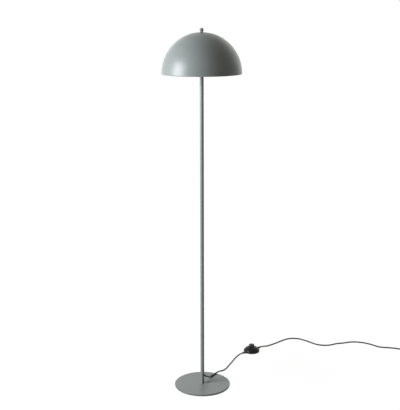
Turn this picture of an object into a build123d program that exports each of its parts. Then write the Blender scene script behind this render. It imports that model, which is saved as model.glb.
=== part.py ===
"""A floor lamp with a half-ball metal shade, as its separate pieces, in millimetres.

The origin is at the middle of the base, on the floor. +Z is up, +X is to the right and +Y is away
from the front. Threads are plain cylinders with a small gap. The mains lead leaves the pole just
above the base, runs through a foot switch on the floor and ends in a coil with its plug.
"""

import os
from math import asin, cos, degrees, pi, radians, sin, sqrt, tan

from build123d import *

os.makedirs("parts", exist_ok=True)

# ---------------------------------------------------------------- driving dimensions
# Gaps that several pieces share
thread_gap = 0.05  # radial, between an outer and an inner thread
running_gap = 0.3  # radial, between pieces that turn or slide on each other
seat_gap = 0.1  # under a piece that rests on another and can be lifted off

# Base: a steel disc on a foam pad, with one countersunk screw up into the pole
base_diameter = 235.0
base_thickness = 6.0
base_edge_radius = 1.8
pad_thickness = 1.5
pad_inset = 5.0
pad_hole_diameter = 30.0
screw_diameter = 8.0
screw_head_diameter = 16.0
screw_head_angle = 90.0
screw_length_above_base = 17.0
screw_socket_width = 5.0
screw_socket_depth = 2.4
screw_sink = 0.2

# Pole: three equal tubes, joined by threaded couplers
pole_diameter = 16.0
pole_wall = 1.2
pole_top_height = 1324.0
pole_section_names = ["pole_lower", "pole_middle", "pole_upper"]
coupler_names = ["pole_coupler_lower", "pole_coupler_upper"]
coupler_length = 50.0
coupler_bore = 9.0
foot_insert_length = 24.0
top_bush_length = 18.0
top_bush_flange = 2.0
nipple_diameter = 10.0
nipple_bore = 7.4
nipple_depth_in_bush = 16.0
nipple_depth_in_holder = 9.0

# Harp: a saddle under the lampholder and a wire loop that carries the shade
saddle_width = 12.0
saddle_thickness = 1.5
harp_holder_room = 12.0  # from the lampholder's side to the middle of a leg
harp_bulb_room = 24.0  # from the bulb's side to the middle of the wire
harp_headroom = 8.0  # from the top of the bulb to the stud
harp_wire_diameter = 4.0
harp_leg_clearance = 0.5
harp_leg_length = 36.0
harp_bow_rise = 30.0
harp_shoulder_rise = 36.5
harp_top_run = 52.0
harp_bend_radius = 28.0
lug_width = 5.0
lug_thickness = 1.2
lug_height = 14.0
lug_gap = 0.15
ferrule_wall = 1.0
ferrule_length = 13.0
washer_diameter = 20.0
washer_thickness = 1.2
nut_width = 14.0
nut_height = 4.0
stud_diameter = 6.0
stud_boss_diameter = 12.0
stud_boss_height = 11.0
stud_seat_diameter = 20.0
stud_seat_thickness = 2.0

# Shade: a spun steel half ball with a rolled hem and a small pressed flat on top
shade_diameter = 320.0
shade_wall = 1.0
shade_flat_diameter = 22.0
shade_hole_diameter = 7.0
hem_diameter = 5.0
hem_proud = 0.4

# Finial: a turned ball on a short collar
finial_ball_diameter = 16.0
finial_collar_diameter = 11.5
finial_height = 16.9
finial_thread_depth = 8.0
finial_edge = 0.6

# Lampholder for a screw cap of 27 mm
holder_gap = 0.3
holder_diameter = 40.0
holder_cap_height = 16.0
holder_wall = 3.0
spigot_wall = 1.0
holder_floor = 3.0
holder_spigot_height = 6.0
holder_shell_height = 38.0
holder_edge_radius = 1.5
core_height = 10.0
core_rise = 4.0  # how far its top stands above the cup's shoulder
sleeve_inner_diameter = 27.6
sleeve_wall = 0.7
sleeve_height = 27.0
contact_diameter = 8.0
contact_height = 1.2
terminal_length = 6.0
terminal_width = 8.0
terminal_height = 6.0
terminal_spacing = 22.0

# Bulb: a round glass envelope on a metal screw cap
bulb_diameter = 60.0
bulb_length = 106.5
bulb_neck_diameter = 28.0
bulb_glass_wall = 1.0
bulb_neck_angle = 40.0
bulb_neck_fillet = 12.0
bulb_cap_diameter = 26.4
bulb_cap_wall = 0.6
bulb_cap_height = 22.5
bulb_insulator_height = 2.5
bulb_insulator_taper = 30.0
bulb_contact_diameter = 9.5
bulb_contact_height = 1.5

# Mains lead
cord_diameter = 6.0
cord_lift = 0.05  # kept between the lead and the floor
run_share = 0.45  # of the shorter run, taken by each arc
exit_above_base = 34.5
exit_bearing = 50.0  # degrees from +X, seen from above
exit_droop = 33.0  # degrees below level
relief_length = 20.0
relief_tip_gap = 0.5  # radial, how much wider the relief's tip is than the lead
relief_root_diameter = 9.0
gland_flange_diameter = 12.0
gland_flange_thickness = 1.5
gland_shank_diameter = 8.6
gland_hole_gap = 0.1
gland_shank_reach = 1.5  # how far it stands into the pole's bore
flex_bend_margin = 1.1

# Foot switch on the lead
switch_x = 233.0
switch_y = 368.0
switch_bearing = 40.0  # degrees from +X, the line in which the lead passes through
switch_diameter = 74.0
switch_height = 35.0
switch_pad_thickness = 1.0
switch_pad_inset = 4.0
switch_parting_height = 6.5
switch_wall = 2.0
switch_skirt_height = 3.0
switch_cover_top = 25.0
switch_bulge_radius = 28.0
switch_bulge_height = 19.4
switch_neck_width = 1.6
button_diameter = 25.0
button_edge_radius = 2.5
button_wall = 2.0
button_crown = 4.0
button_flange_width = 1.3
button_flange_height = 2.2
button_travel = 3.0
mechanism_length = 18.0
mechanism_width = 14.0
mechanism_height = 11.0
plunger_diameter = 4.0
plunger_depth = 4.0
spring_diameter = 9.0
spring_wire = 0.8
spring_turns = 5
switch_terminal_size = 5.0
switch_terminal_spread = 26.0
switch_terminal_offset = 4.0
post_diameter = 8.0
post_circle = 54.0
post_bearings = [90.0, 210.0, 330.0]
cover_screw_diameter = 3.0
cover_screw_head = 5.4
cover_screw_head_height = 2.0
cover_screw_reach = 6.0
clamp_distance = 24.0
clamp_length = 5.0
clamp_span = 18.0
clamp_thickness = 1.6
clamp_post_spacing = 13.0
clamp_post_diameter = 4.6
clamp_screw_diameter = 2.2
clamp_screw_head = 4.0
clamp_screw_head_height = 1.3
clamp_screw_reach = 5.0
grommet_root_diameter = 10.0
grommet_stub_diameter = 6.8
grommet_stub_end = 20.5

# Coil of the spare lead and the plug
coil_x = 1000.0
coil_y = 414.0
coil_diameter = 66.0  # at the middle of its turns
coil_columns = 3
coil_layers = 2
coil_stub_length = 24.0
plug_width = 35.3
plug_thickness = 13.7
plug_length = 36.0
plug_neck_width = 17.0
plug_shoulder = 13.0
plug_edge_radius = 2.6
plug_relief_length = 30.0
plug_relief_root = 11.0
plug_step_run = 9.0
pin_diameter = 4.0
pin_spacing = 19.0
pin_length = 19.0
pin_root_diameter = 3.4
pin_depth_in_plug = 9.0
pin_tip_radius = 1.6

# ---------------------------------------------------------------- places worked out from them
base_top = pad_thickness + base_thickness
pole_bore = pole_diameter - 2 * pole_wall
pole_section_length = (pole_top_height - base_top) / len(pole_section_names)
insert_diameter = pole_bore - 2 * thread_gap

saddle_base = pole_top_height + top_bush_flange
saddle_top = saddle_base + saddle_thickness
nut_base = saddle_top + washer_thickness
holder_base = nut_base + nut_height + holder_gap
holder_split = holder_base + holder_cap_height
core_top = holder_split + core_rise
core_base = core_top - core_height
bulb_base = core_top + contact_height + running_gap
bulb_top = bulb_base + bulb_length

# The harp clears the bulb, and the shade hangs from the stud at its top.
stud_boss_base = bulb_top + harp_headroom
wire_top_height = stud_boss_base + stud_boss_height / 2
stud_boss_top = stud_boss_base + stud_boss_height
stud_seat_top = stud_boss_top + stud_seat_thickness
dome_radius = shade_diameter / 2
shade_top = stud_seat_top + seat_gap + shade_wall
dome_centre = shade_top - sqrt(dome_radius**2 - (shade_flat_diameter / 2) ** 2)

cord_radius = cord_diameter / 2
cord_height = cord_radius + cord_lift
exit_height = base_top + exit_above_base
relief_tip_radius = cord_radius + relief_tip_gap


def save(part, name):
    """Label a finished piece and write it as its own file."""
    part.label = name
    export_step(part, f"parts/{name}.step")


def bearing(degrees_from_x, droop=0.0):
    """The unit vector at a bearing seen from above, dipping below level by the droop."""
    level = cos(radians(droop))
    turn = radians(degrees_from_x)
    return Vector(level * cos(turn), level * sin(turn), -sin(radians(droop)))


def upright(x, y, degrees_from_x):
    """The standing plane through a point whose own x runs along a bearing and whose y is up."""
    along = bearing(degrees_from_x)
    return Plane(origin=(x, y, 0), x_dir=along, z_dir=(along.Y, -along.X, 0))


# ---------------------------------------------------------------- base
# The pad is a self-adhesive foam ring, open in the middle so that the screw can be reached.
with BuildPart() as base_pad:
    with BuildSketch(Plane.XY):
        Circle(base_diameter / 2 - pad_inset)
        Circle(pad_hole_diameter / 2, mode=Mode.SUBTRACT)
    extrude(amount=pad_thickness)
save(base_pad.part, "base_pad")

# The plate is a turned steel disc with a rounded top edge, countersunk from below.
with BuildPart() as base_plate:
    with BuildSketch(Plane.XY.offset(pad_thickness)):
        Circle(base_diameter / 2)
    extrude(amount=base_thickness)
    fillet(base_plate.edges().group_by(Axis.Z)[-1], radius=base_edge_radius)
    with Locations(Plane(origin=(0, 0, pad_thickness), z_dir=(0, 0, -1))):
        CounterSinkHole(
            radius=screw_diameter / 2 + running_gap,
            counter_sink_radius=screw_head_diameter / 2 + running_gap,
            counter_sink_angle=screw_head_angle,
        )
save(base_plate.part, "base_plate")

# The screw's head sits in the countersink, just below the plate's underside.
screw_base = pad_thickness + screw_sink
screw_cone = (screw_head_diameter - screw_diameter) / 2 / tan(radians(screw_head_angle / 2))
with BuildPart() as base_screw:
    with BuildSketch(Plane.XZ):
        with BuildLine():
            Polyline(
                (0, screw_base),
                (screw_head_diameter / 2, screw_base),
                (screw_diameter / 2, screw_base + screw_cone),
                (screw_diameter / 2, base_top + screw_length_above_base),
                (0, base_top + screw_length_above_base),
                close=True,
            )
        make_face()
    revolve(axis=Axis.Z)
    with BuildSketch(Plane.XY.offset(screw_base)):
        RegularPolygon(screw_socket_width / 2, 6, major_radius=False)
    extrude(amount=screw_socket_depth, mode=Mode.SUBTRACT)
save(base_screw.part, "base_screw")

# ---------------------------------------------------------------- pole
# The threaded insert closes the foot of the pole and takes the base screw.
with BuildPart() as pole_foot_insert:
    with BuildSketch(Plane.XY.offset(base_top)):
        Circle(insert_diameter / 2)
        Circle(screw_diameter / 2 + thread_gap, mode=Mode.SUBTRACT)
    extrude(amount=foot_insert_length)
save(pole_foot_insert.part, "pole_foot_insert")

# The lead leaves the lowest tube through a round hole in its wall.
exit_level = bearing(exit_bearing)
exit_axis = bearing(exit_bearing, exit_droop)
for level, section_name in enumerate(pole_section_names):
    with BuildPart() as pole_section:
        with BuildSketch(Plane.XY.offset(base_top + level * pole_section_length)):
            Circle(pole_diameter / 2)
            Circle(pole_bore / 2, mode=Mode.SUBTRACT)
        extrude(amount=pole_section_length)
        if level == 0:
            with BuildSketch(Plane(origin=(0, 0, exit_height), z_dir=exit_level)):
                Circle(gland_shank_diameter / 2 + gland_hole_gap)
            extrude(amount=pole_diameter, mode=Mode.SUBTRACT)
    save(pole_section.part, section_name)

# A coupler is a threaded tube, half in the lower section and half in the upper one.
for joint, coupler_name in enumerate(coupler_names, start=1):
    seam_height = base_top + joint * pole_section_length
    with BuildPart() as coupler:
        with BuildSketch(Plane.XY.offset(seam_height - coupler_length / 2)):
            Circle(insert_diameter / 2)
            Circle(coupler_bore / 2, mode=Mode.SUBTRACT)
        extrude(amount=coupler_length)
    save(coupler.part, coupler_name)

# The bush at the top has a flange as wide as the pole and takes the threaded nipple.
with BuildPart() as pole_top_bush:
    with BuildSketch(Plane.XY.offset(pole_top_height - top_bush_length)):
        Circle(insert_diameter / 2)
    extrude(amount=top_bush_length)
    with BuildSketch(Plane.XY.offset(pole_top_height)):
        Circle(pole_diameter / 2)
    extrude(amount=top_bush_flange)
    with BuildSketch(Plane.XY.offset(pole_top_height - top_bush_length)):
        Circle(nipple_diameter / 2 + thread_gap)
    extrude(amount=top_bush_length + top_bush_flange, mode=Mode.SUBTRACT)
save(pole_top_bush.part, "pole_top_bush")

# The nipple holds the saddle and the lampholder, and the lead passes through it.
nipple_base = saddle_base - nipple_depth_in_bush
nipple_top = holder_base + nipple_depth_in_holder
with BuildPart() as top_nipple:
    with BuildSketch(Plane.XY.offset(nipple_base)):
        Circle(nipple_diameter / 2)
        Circle(nipple_bore / 2, mode=Mode.SUBTRACT)
    extrude(amount=nipple_top - nipple_base)
save(top_nipple.part, "top_nipple")

# ---------------------------------------------------------------- harp
# The saddle is a bent steel strip. Its two lugs stand beside the legs of the wire loop.
leg_x = holder_diameter / 2 + harp_holder_room
lug_outer = leg_x - harp_wire_diameter / 2 - lug_gap
lug_inner = lug_outer - lug_thickness
with BuildPart() as harp_saddle:
    with BuildSketch(Plane.XY.offset(saddle_base)):
        SlotOverall(2 * leg_x + harp_wire_diameter, saddle_width)
        Circle(nipple_diameter / 2 + thread_gap, mode=Mode.SUBTRACT)
    extrude(amount=saddle_thickness)
    with BuildSketch(Plane.XY.offset(saddle_base)):
        with Locations(((lug_outer + lug_inner) / 2, 0), (-(lug_outer + lug_inner) / 2, 0)):
            Rectangle(lug_thickness, lug_width)
    extrude(amount=saddle_thickness + lug_height)
save(harp_saddle.part, "harp_saddle")

with BuildPart() as saddle_washer:
    with BuildSketch(Plane.XY.offset(saddle_top)):
        Circle(washer_diameter / 2)
        Circle(nipple_diameter / 2 + thread_gap, mode=Mode.SUBTRACT)
    extrude(amount=washer_thickness)
save(saddle_washer.part, "saddle_washer")

with BuildPart() as saddle_nut:
    with BuildSketch(Plane.XY.offset(nut_base)):
        RegularPolygon(nut_width / 2, 6, major_radius=False)
        Circle(nipple_diameter / 2 + thread_gap, mode=Mode.SUBTRACT)
    extrude(amount=nut_height)
save(saddle_nut.part, "saddle_nut")

# The loop rises from the saddle, bows out round the bulb and closes under the top of the shade.
leg_base = saddle_top + harp_leg_clearance
bow_start = leg_base + harp_leg_length
bow_end = wire_top_height - harp_shoulder_rise
bow_x = bulb_diameter / 2 + harp_bulb_room
right_side = [
    (leg_x, leg_base),
    (leg_x, bow_start),
    (bow_x, bow_start + harp_bow_rise),
    (bow_x, bow_end),
    (harp_top_run / 2, wire_top_height),
]
left_side = [(-x, z) for x, z in reversed(right_side)]
with BuildPart() as harp_loop:
    with BuildLine(Plane.XZ):
        FilletPolyline(*right_side, *left_side, radius=harp_bend_radius)
    with BuildSketch(Plane.XY.offset(leg_base)):
        with Locations((leg_x, 0)):
            Circle(harp_wire_diameter / 2)
    sweep()
save(harp_loop.part, "harp_loop")

# Each ferrule is a short sleeve that slides down over a lug and a leg and locks them together.
ferrule_x = (lug_inner + leg_x + harp_wire_diameter / 2) / 2
lug_corner = sqrt((ferrule_x - lug_inner) ** 2 + (lug_width / 2) ** 2)
ferrule_inner_radius = lug_corner + running_gap
for side, ferrule_name in ((1, "harp_ferrule_right"), (-1, "harp_ferrule_left")):
    with BuildPart() as ferrule:
        with BuildSketch(Plane.XY.offset(saddle_top + running_gap)):
            with Locations((side * ferrule_x, 0)):
                Circle(ferrule_inner_radius + ferrule_wall)
                Circle(ferrule_inner_radius, mode=Mode.SUBTRACT)
        extrude(amount=ferrule_length)
    save(ferrule.part, ferrule_name)

# The stud's boss is drilled across for the wire, its disc carries the shade.
stud_top = shade_top + finial_thread_depth
with BuildPart() as harp_stud:
    with BuildSketch(Plane.XY.offset(stud_boss_base)):
        Circle(stud_boss_diameter / 2)
    extrude(amount=stud_boss_height)
    with BuildSketch(Plane.XY.offset(stud_boss_top)):
        Circle(stud_seat_diameter / 2)
    extrude(amount=stud_seat_thickness)
    with BuildSketch(Plane.XY.offset(stud_seat_top)):
        Circle(stud_diameter / 2)
    extrude(amount=stud_top - stud_seat_top)
    with BuildSketch(Plane(origin=(0, 0, wire_top_height), z_dir=(1, 0, 0))):
        Circle(harp_wire_diameter / 2 + thread_gap)
    extrude(amount=stud_boss_diameter, both=True, mode=Mode.SUBTRACT)
save(harp_stud.part, "harp_stud")

# ---------------------------------------------------------------- shade and finial
# The shell's section runs from the pressed flat down to the rim, where the hem is rolled in.
inner_radius = dome_radius - shade_wall
hem_radius = hem_diameter / 2
outer_flat_angle = degrees(asin((shade_top - dome_centre) / dome_radius))
inner_flat_angle = degrees(asin((shade_top - shade_wall - dome_centre) / inner_radius))
with BuildPart() as shade:
    with BuildSketch(Plane.XZ):
        with BuildLine():
            outer = CenterArc((0, dome_centre), dome_radius, 0, outer_flat_angle)
            inner = CenterArc((0, dome_centre), inner_radius, 0, inner_flat_angle)
            Polyline(
                outer @ 1,
                (shade_hole_diameter / 2, shade_top),
                (shade_hole_diameter / 2, shade_top - shade_wall),
                inner @ 1,
            )
            Line(outer @ 0, inner @ 0)
        make_face()
        with Locations((dome_radius + hem_proud - hem_radius, dome_centre)):
            Circle(hem_radius)
    revolve(axis=Axis.Z)
save(shade.part, "shade")

# The finial screws down on the stud and holds the shade.
finial_base = shade_top + seat_gap
finial_top = shade_top + finial_height
ball_centre = finial_top - finial_ball_diameter / 2
with BuildPart() as finial:
    with Locations((0, 0, ball_centre)):
        Sphere(finial_ball_diameter / 2)
    with BuildSketch(Plane.XY.offset(finial_base)):
        Circle(finial_collar_diameter / 2)
    extrude(amount=ball_centre - finial_base)
    chamfer(finial.edges().group_by(Axis.Z)[0], length=finial_edge)
    with BuildSketch(Plane.XY.offset(finial_base)):
        Circle(stud_diameter / 2 + thread_gap)
    extrude(amount=finial_thread_depth + running_gap, mode=Mode.SUBTRACT)
save(finial.part, "finial")

# ---------------------------------------------------------------- lampholder
# The cup below screws on the nipple, and its spigot takes the outer shell.
holder_bore = holder_diameter - 2 * holder_wall
spigot_diameter = holder_bore + 2 * spigot_wall
with BuildPart() as lampholder_cap:
    with BuildSketch(Plane.XY.offset(holder_base)):
        Circle(holder_diameter / 2)
    extrude(amount=holder_cap_height)
    fillet(lampholder_cap.edges().group_by(Axis.Z)[0], radius=holder_edge_radius)
    with BuildSketch(Plane.XY.offset(holder_split)):
        Circle(spigot_diameter / 2)
    extrude(amount=holder_spigot_height)
    with BuildSketch(Plane.XY.offset(holder_base + holder_floor)):
        Circle(holder_bore / 2)
    extrude(amount=holder_cap_height + holder_spigot_height, mode=Mode.SUBTRACT)
    with BuildSketch(Plane.XY.offset(holder_base)):
        Circle(nipple_diameter / 2 + thread_gap)
    extrude(amount=holder_floor, mode=Mode.SUBTRACT)
save(lampholder_cap.part, "lampholder_cap")

with BuildPart() as lampholder_shell:
    with BuildSketch(Plane.XY.offset(holder_split)):
        Circle(holder_diameter / 2)
    extrude(amount=holder_shell_height)
    fillet(lampholder_shell.edges().group_by(Axis.Z)[-1], radius=holder_edge_radius)
    with BuildSketch(Plane.XY.offset(holder_split)):
        Circle(spigot_diameter / 2 + thread_gap)
    extrude(amount=holder_shell_height, mode=Mode.SUBTRACT)
save(lampholder_shell.part, "lampholder_shell")

# The ceramic core fills the cup's bore and carries the contacts and both terminals.
with BuildPart() as lampholder_core:
    with BuildSketch(Plane.XY.offset(core_base)):
        Circle(holder_bore / 2 - thread_gap)
    extrude(amount=core_height)
save(lampholder_core.part, "lampholder_core")

with BuildPart() as lampholder_sleeve:
    with BuildSketch(Plane.XY.offset(core_top)):
        Circle(sleeve_inner_diameter / 2 + sleeve_wall)
        Circle(sleeve_inner_diameter / 2, mode=Mode.SUBTRACT)
    extrude(amount=sleeve_height)
save(lampholder_sleeve.part, "lampholder_sleeve")

with BuildPart() as lampholder_contact:
    with BuildSketch(Plane.XY.offset(core_top)):
        Circle(contact_diameter / 2)
    extrude(amount=contact_height)
save(lampholder_contact.part, "lampholder_contact")

with BuildPart() as lampholder_terminals:
    with BuildSketch(Plane.XY.offset(core_base - terminal_height)):
        with GridLocations(terminal_spacing, 0, 2, 1):
            Rectangle(terminal_length, terminal_width)
    extrude(amount=terminal_height)
save(lampholder_terminals.part, "lampholder_terminals")

# ---------------------------------------------------------------- bulb
# The glass is a ball that runs down into a straight neck, as thick as its wall all over.
bulb_cap_base = bulb_base + bulb_contact_height + bulb_insulator_height
glass_base = bulb_cap_base + bulb_cap_height
bulb_centre = bulb_top - bulb_diameter / 2


def bulb_section(inset):
    """Half of the glass, seen from the side, drawn inwards by the inset."""
    ball = bulb_diameter / 2 - inset
    neck = bulb_neck_diameter / 2 - inset
    slope_end = radians(bulb_neck_angle)
    cheek = (ball * cos(slope_end), bulb_centre - ball * sin(slope_end))
    neck_top = cheek[1] - (cheek[0] - neck) / tan(slope_end)
    with BuildSketch(Plane.XZ) as section:
        with BuildLine():
            top = CenterArc((0, bulb_centre), ball, -bulb_neck_angle, 90 + bulb_neck_angle)
            FilletPolyline(
                top @ 0, (neck, neck_top), (neck, glass_base), radius=bulb_neck_fillet - inset
            )
            Polyline((neck, glass_base), (0, glass_base), top @ 1)
        make_face()
    return section.sketch


with BuildPart() as bulb_glass:
    revolve(bulb_section(0), axis=Axis.Z)
    revolve(bulb_section(bulb_glass_wall), axis=Axis.Z, mode=Mode.SUBTRACT)
save(bulb_glass.part, "bulb_glass")

with BuildPart() as bulb_cap:
    with BuildSketch(Plane.XY.offset(bulb_cap_base)):
        Circle(bulb_cap_diameter / 2)
    extrude(amount=bulb_cap_height)
    with BuildSketch(Plane.XY.offset(bulb_cap_base + bulb_cap_wall)):
        Circle(bulb_cap_diameter / 2 - bulb_cap_wall)
    extrude(amount=bulb_cap_height, mode=Mode.SUBTRACT)
save(bulb_cap.part, "bulb_cap")

with BuildPart() as bulb_insulator:
    with BuildSketch(Plane.XY.offset(bulb_cap_base)):
        Circle(bulb_cap_diameter / 2 - bulb_insulator_height)
    extrude(amount=-bulb_insulator_height, taper=bulb_insulator_taper)
save(bulb_insulator.part, "bulb_insulator")

with BuildPart() as bulb_contact:
    with BuildSketch(Plane.XY.offset(bulb_base)):
        Circle(bulb_contact_diameter / 2)
    extrude(amount=bulb_contact_height)
save(bulb_contact.part, "bulb_contact")

# ---------------------------------------------------------------- lead: gland and inner flex
# The gland is moulded on the lead: a shank in the pole's hole, a flange and a drooping cone.
exit_centre = Vector(0, 0, exit_height)
exit_point = exit_centre + exit_level * (pole_diameter / 2)
gland_shank_start = pole_bore / 2 - gland_shank_reach
relief_end = exit_point + exit_axis * relief_length
with BuildPart() as cord_gland:
    with BuildSketch(Plane(origin=exit_centre, z_dir=exit_level)):
        Circle(gland_flange_diameter / 2)
    extrude(amount=pole_diameter / 2 + gland_flange_thickness)
    with BuildSketch(Plane(origin=exit_point, z_dir=exit_axis)):
        Circle(relief_root_diameter / 2)
    with BuildSketch(Plane(origin=relief_end, z_dir=exit_axis)):
        Circle(relief_tip_radius)
    loft()
    with BuildSketch(Plane.XY.offset(base_top)):
        Circle(pole_diameter / 2 + gland_hole_gap)
    extrude(amount=2 * exit_above_base, mode=Mode.SUBTRACT)
    with BuildSketch(Plane(origin=exit_centre + exit_level * gland_shank_start, z_dir=exit_level)):
        Circle(gland_shank_diameter / 2)
    extrude(amount=pole_diameter / 2 + gland_flange_thickness - gland_shank_start)
save(cord_gland.part, "cord_gland")

# Inside, the lead turns up and runs the whole pole to the lampholder.
flex_start = exit_centre + exit_level * gland_shank_start
with BuildPart() as inner_flex:
    with BuildLine():
        FilletPolyline(
            flex_start,
            tuple(exit_centre),
            (0, 0, nipple_top),
            radius=gland_shank_start - flex_bend_margin,
        )
    with BuildSketch(Plane(origin=flex_start, z_dir=exit_level)):
        Circle(cord_radius)
    sweep()
save(inner_flex.part, "inner_flex")

# ---------------------------------------------------------------- lead: its route over the floor
switch_axis = bearing(switch_bearing)
switch_centre = Vector(switch_x, switch_y, 0)
grommet_end = switch_diameter / 2 + relief_length
lead_in = switch_centre - switch_axis * grommet_end + Vector(0, 0, switch_parting_height)
lead_out = switch_centre + switch_axis * grommet_end + Vector(0, 0, switch_parting_height)

coil_radius = coil_diameter / 2
coil_outer_turn = coil_radius + cord_radius * (coil_columns - 1)
coil_top_turn = cord_height + cord_diameter * (coil_layers - 1)
coil_centre = Vector(coil_x, coil_y, 0)
coil_in = coil_centre + Vector(-coil_stub_length, -coil_outer_turn, cord_height)
coil_out = coil_centre + Vector(coil_outer_turn, coil_stub_length, coil_top_turn)
plug_height = plug_thickness / 2
plug_lead_end = Vector(coil_out.X, coil_out.Y + 4 * plug_step_run, plug_height)

# From the pole it droops over the base, drops past its edge and wanders to the foot switch.
pole_route = [
    tuple(relief_end),
    tuple(relief_end + exit_axis * 12.0),
    (29.0, 39.0, 18.6),
    (36.5, 53.5, 15.0),
    (45.5, 70.0, 13.8),
    (55.5, 86.5, 14.8),
    (65.0, 103.5, 16.0),
    (73.5, 120.5, 9.0),
    (86.5, 136.0, cord_height),
    (102.0, 150.0, cord_height),
    (113.5, 177.0, cord_height),
    (124.0, 206.0, cord_height),
    (137.0, 239.0, cord_height),
    (149.0, 270.0, cord_height),
    (161.0, 294.0, cord_height),
    tuple(lead_in - switch_axis * 18.0),
    tuple(lead_in),
]

# From the switch it snakes to the right, as far as the coil.
switch_route = [
    tuple(lead_out),
    tuple(lead_out + switch_axis * 15.0),
    (305.0, 421.0, 3.7),
    (326.0, 436.0, cord_height),
    (352.0, 458.0, cord_height),
    (380.0, 486.0, cord_height),
    (407.0, 511.0, cord_height),
    (437.0, 524.0, cord_height),
    (470.0, 520.0, cord_height),
    (498.0, 498.0, cord_height),
    (524.0, 470.0, cord_height),
    (550.0, 441.0, cord_height),
    (582.0, 431.0, cord_height),
    (614.0, 434.0, cord_height),
    (645.0, 454.0, cord_height),
    (682.0, 460.0, cord_height),
    (714.0, 474.0, cord_height),
    (750.0, 474.0, cord_height),
    (784.0, 461.0, cord_height),
    (812.0, 441.0, cord_height),
    (838.0, 411.0, cord_height),
    (866.0, 403.0, cord_height),
    (900.0, 397.0, cord_height),
    (928.0, 387.0, cord_height),
    (951.0, 375.0, cord_height),
    tuple(coil_in),
]

# From the top of the coil it comes down to the height of the plug that lies on the floor.
plug_route = [
    tuple(coil_out),
    (coil_out.X, coil_out.Y + plug_step_run, coil_top_turn),
    (coil_out.X, coil_out.Y + 3 * plug_step_run, plug_height),
    tuple(plug_lead_end),
]


def corner_radii(points):
    """Each corner's arc, as large as the shorter of its two runs allows."""
    radii = []
    for before, here, after in zip(points, points[1:], points[2:]):
        run_in = Vector(*here) - Vector(*before)
        run_out = Vector(*after) - Vector(*here)
        half_turn = radians(run_in.get_angle(run_out)) / 2
        radii.append(run_share * min(run_in.length, run_out.length) / tan(half_turn))
    return radii


def lay_cord(points, name):
    """Sweep the lead along a route and print its bends, its length and its volume."""
    radii = corner_radii(points)
    with BuildPart() as tube:
        with BuildLine() as path:
            FilletPolyline(*points, radius=radii)
        centreline = path.wire()
        with BuildSketch(Plane(origin=centreline @ 0, z_dir=centreline % 0)):
            Circle(cord_radius)
        sweep(path=centreline)
    length = centreline.length
    expected = pi * cord_radius**2 * length
    print(name, "radii", [round(radius) for radius in radii])
    print(name, f"length {length:.1f} volume {tube.part.volume:.0f} expected {expected:.0f}")
    save(tube.part, name)
    return length


lead_length = lay_cord(pole_route, "cord_pole_run")
lead_length += lay_cord(switch_route, "cord_switch_run")
lead_length += lay_cord(plug_route, "cord_plug_run")

# The coil's outer shape: a ring with a straight stub where the lead comes in and goes out.
coil_half_width = cord_radius * coil_columns
with BuildPart() as cord_coil:
    with BuildSketch(Plane.XY.offset(cord_lift)):
        with Locations((coil_x, coil_y)):
            Circle(coil_radius + coil_half_width)
    extrude(amount=cord_diameter * coil_layers)
    for stub_end, heading in ((coil_in, (1, 0, 0)), (coil_out, (0, -1, 0))):
        with BuildSketch(Plane(origin=stub_end, z_dir=heading)):
            Circle(cord_radius)
        extrude(amount=coil_stub_length)
    with BuildSketch(Plane.XY):
        with Locations((coil_x, coil_y)):
            Circle(coil_radius - coil_half_width)
    extrude(amount=cord_diameter * (coil_layers + 1), mode=Mode.SUBTRACT)
save(cord_coil.part, "cord_coil")
print(f"lead outside the coil {lead_length:.0f}")

# ---------------------------------------------------------------- foot switch
switch_radius = switch_diameter / 2
switch_floor = switch_pad_thickness + switch_wall
switch_plane = Plane(origin=switch_centre, x_dir=switch_axis, z_dir=(0, 0, 1))
switch_side = upright(switch_x, switch_y, switch_bearing)
switch_middle = Axis(switch_centre, (0, 0, 1))
post_places = [
    (post_circle / 2 * cos(radians(turn)), post_circle / 2 * sin(radians(turn)))
    for turn in post_bearings
]
clamp_post_places = [
    (side * clamp_distance, across * clamp_post_spacing / 2)
    for side in (-1, 1)
    for across in (-1, 1)
]
clamp_base = switch_parting_height + grommet_stub_diameter / 2 + seat_gap
lead_plane = Plane(origin=switch_centre + Vector(0, 0, switch_parting_height), z_dir=switch_axis)

# A rubber disc keeps the switch from sliding.
with BuildPart() as switch_pad:
    with BuildSketch(switch_plane):
        Circle(switch_radius - switch_pad_inset)
        with Locations(*post_places):
            Circle(cover_screw_head / 2 + running_gap, mode=Mode.SUBTRACT)
    extrude(amount=switch_pad_thickness)
save(switch_pad.part, "switch_pad")

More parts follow.
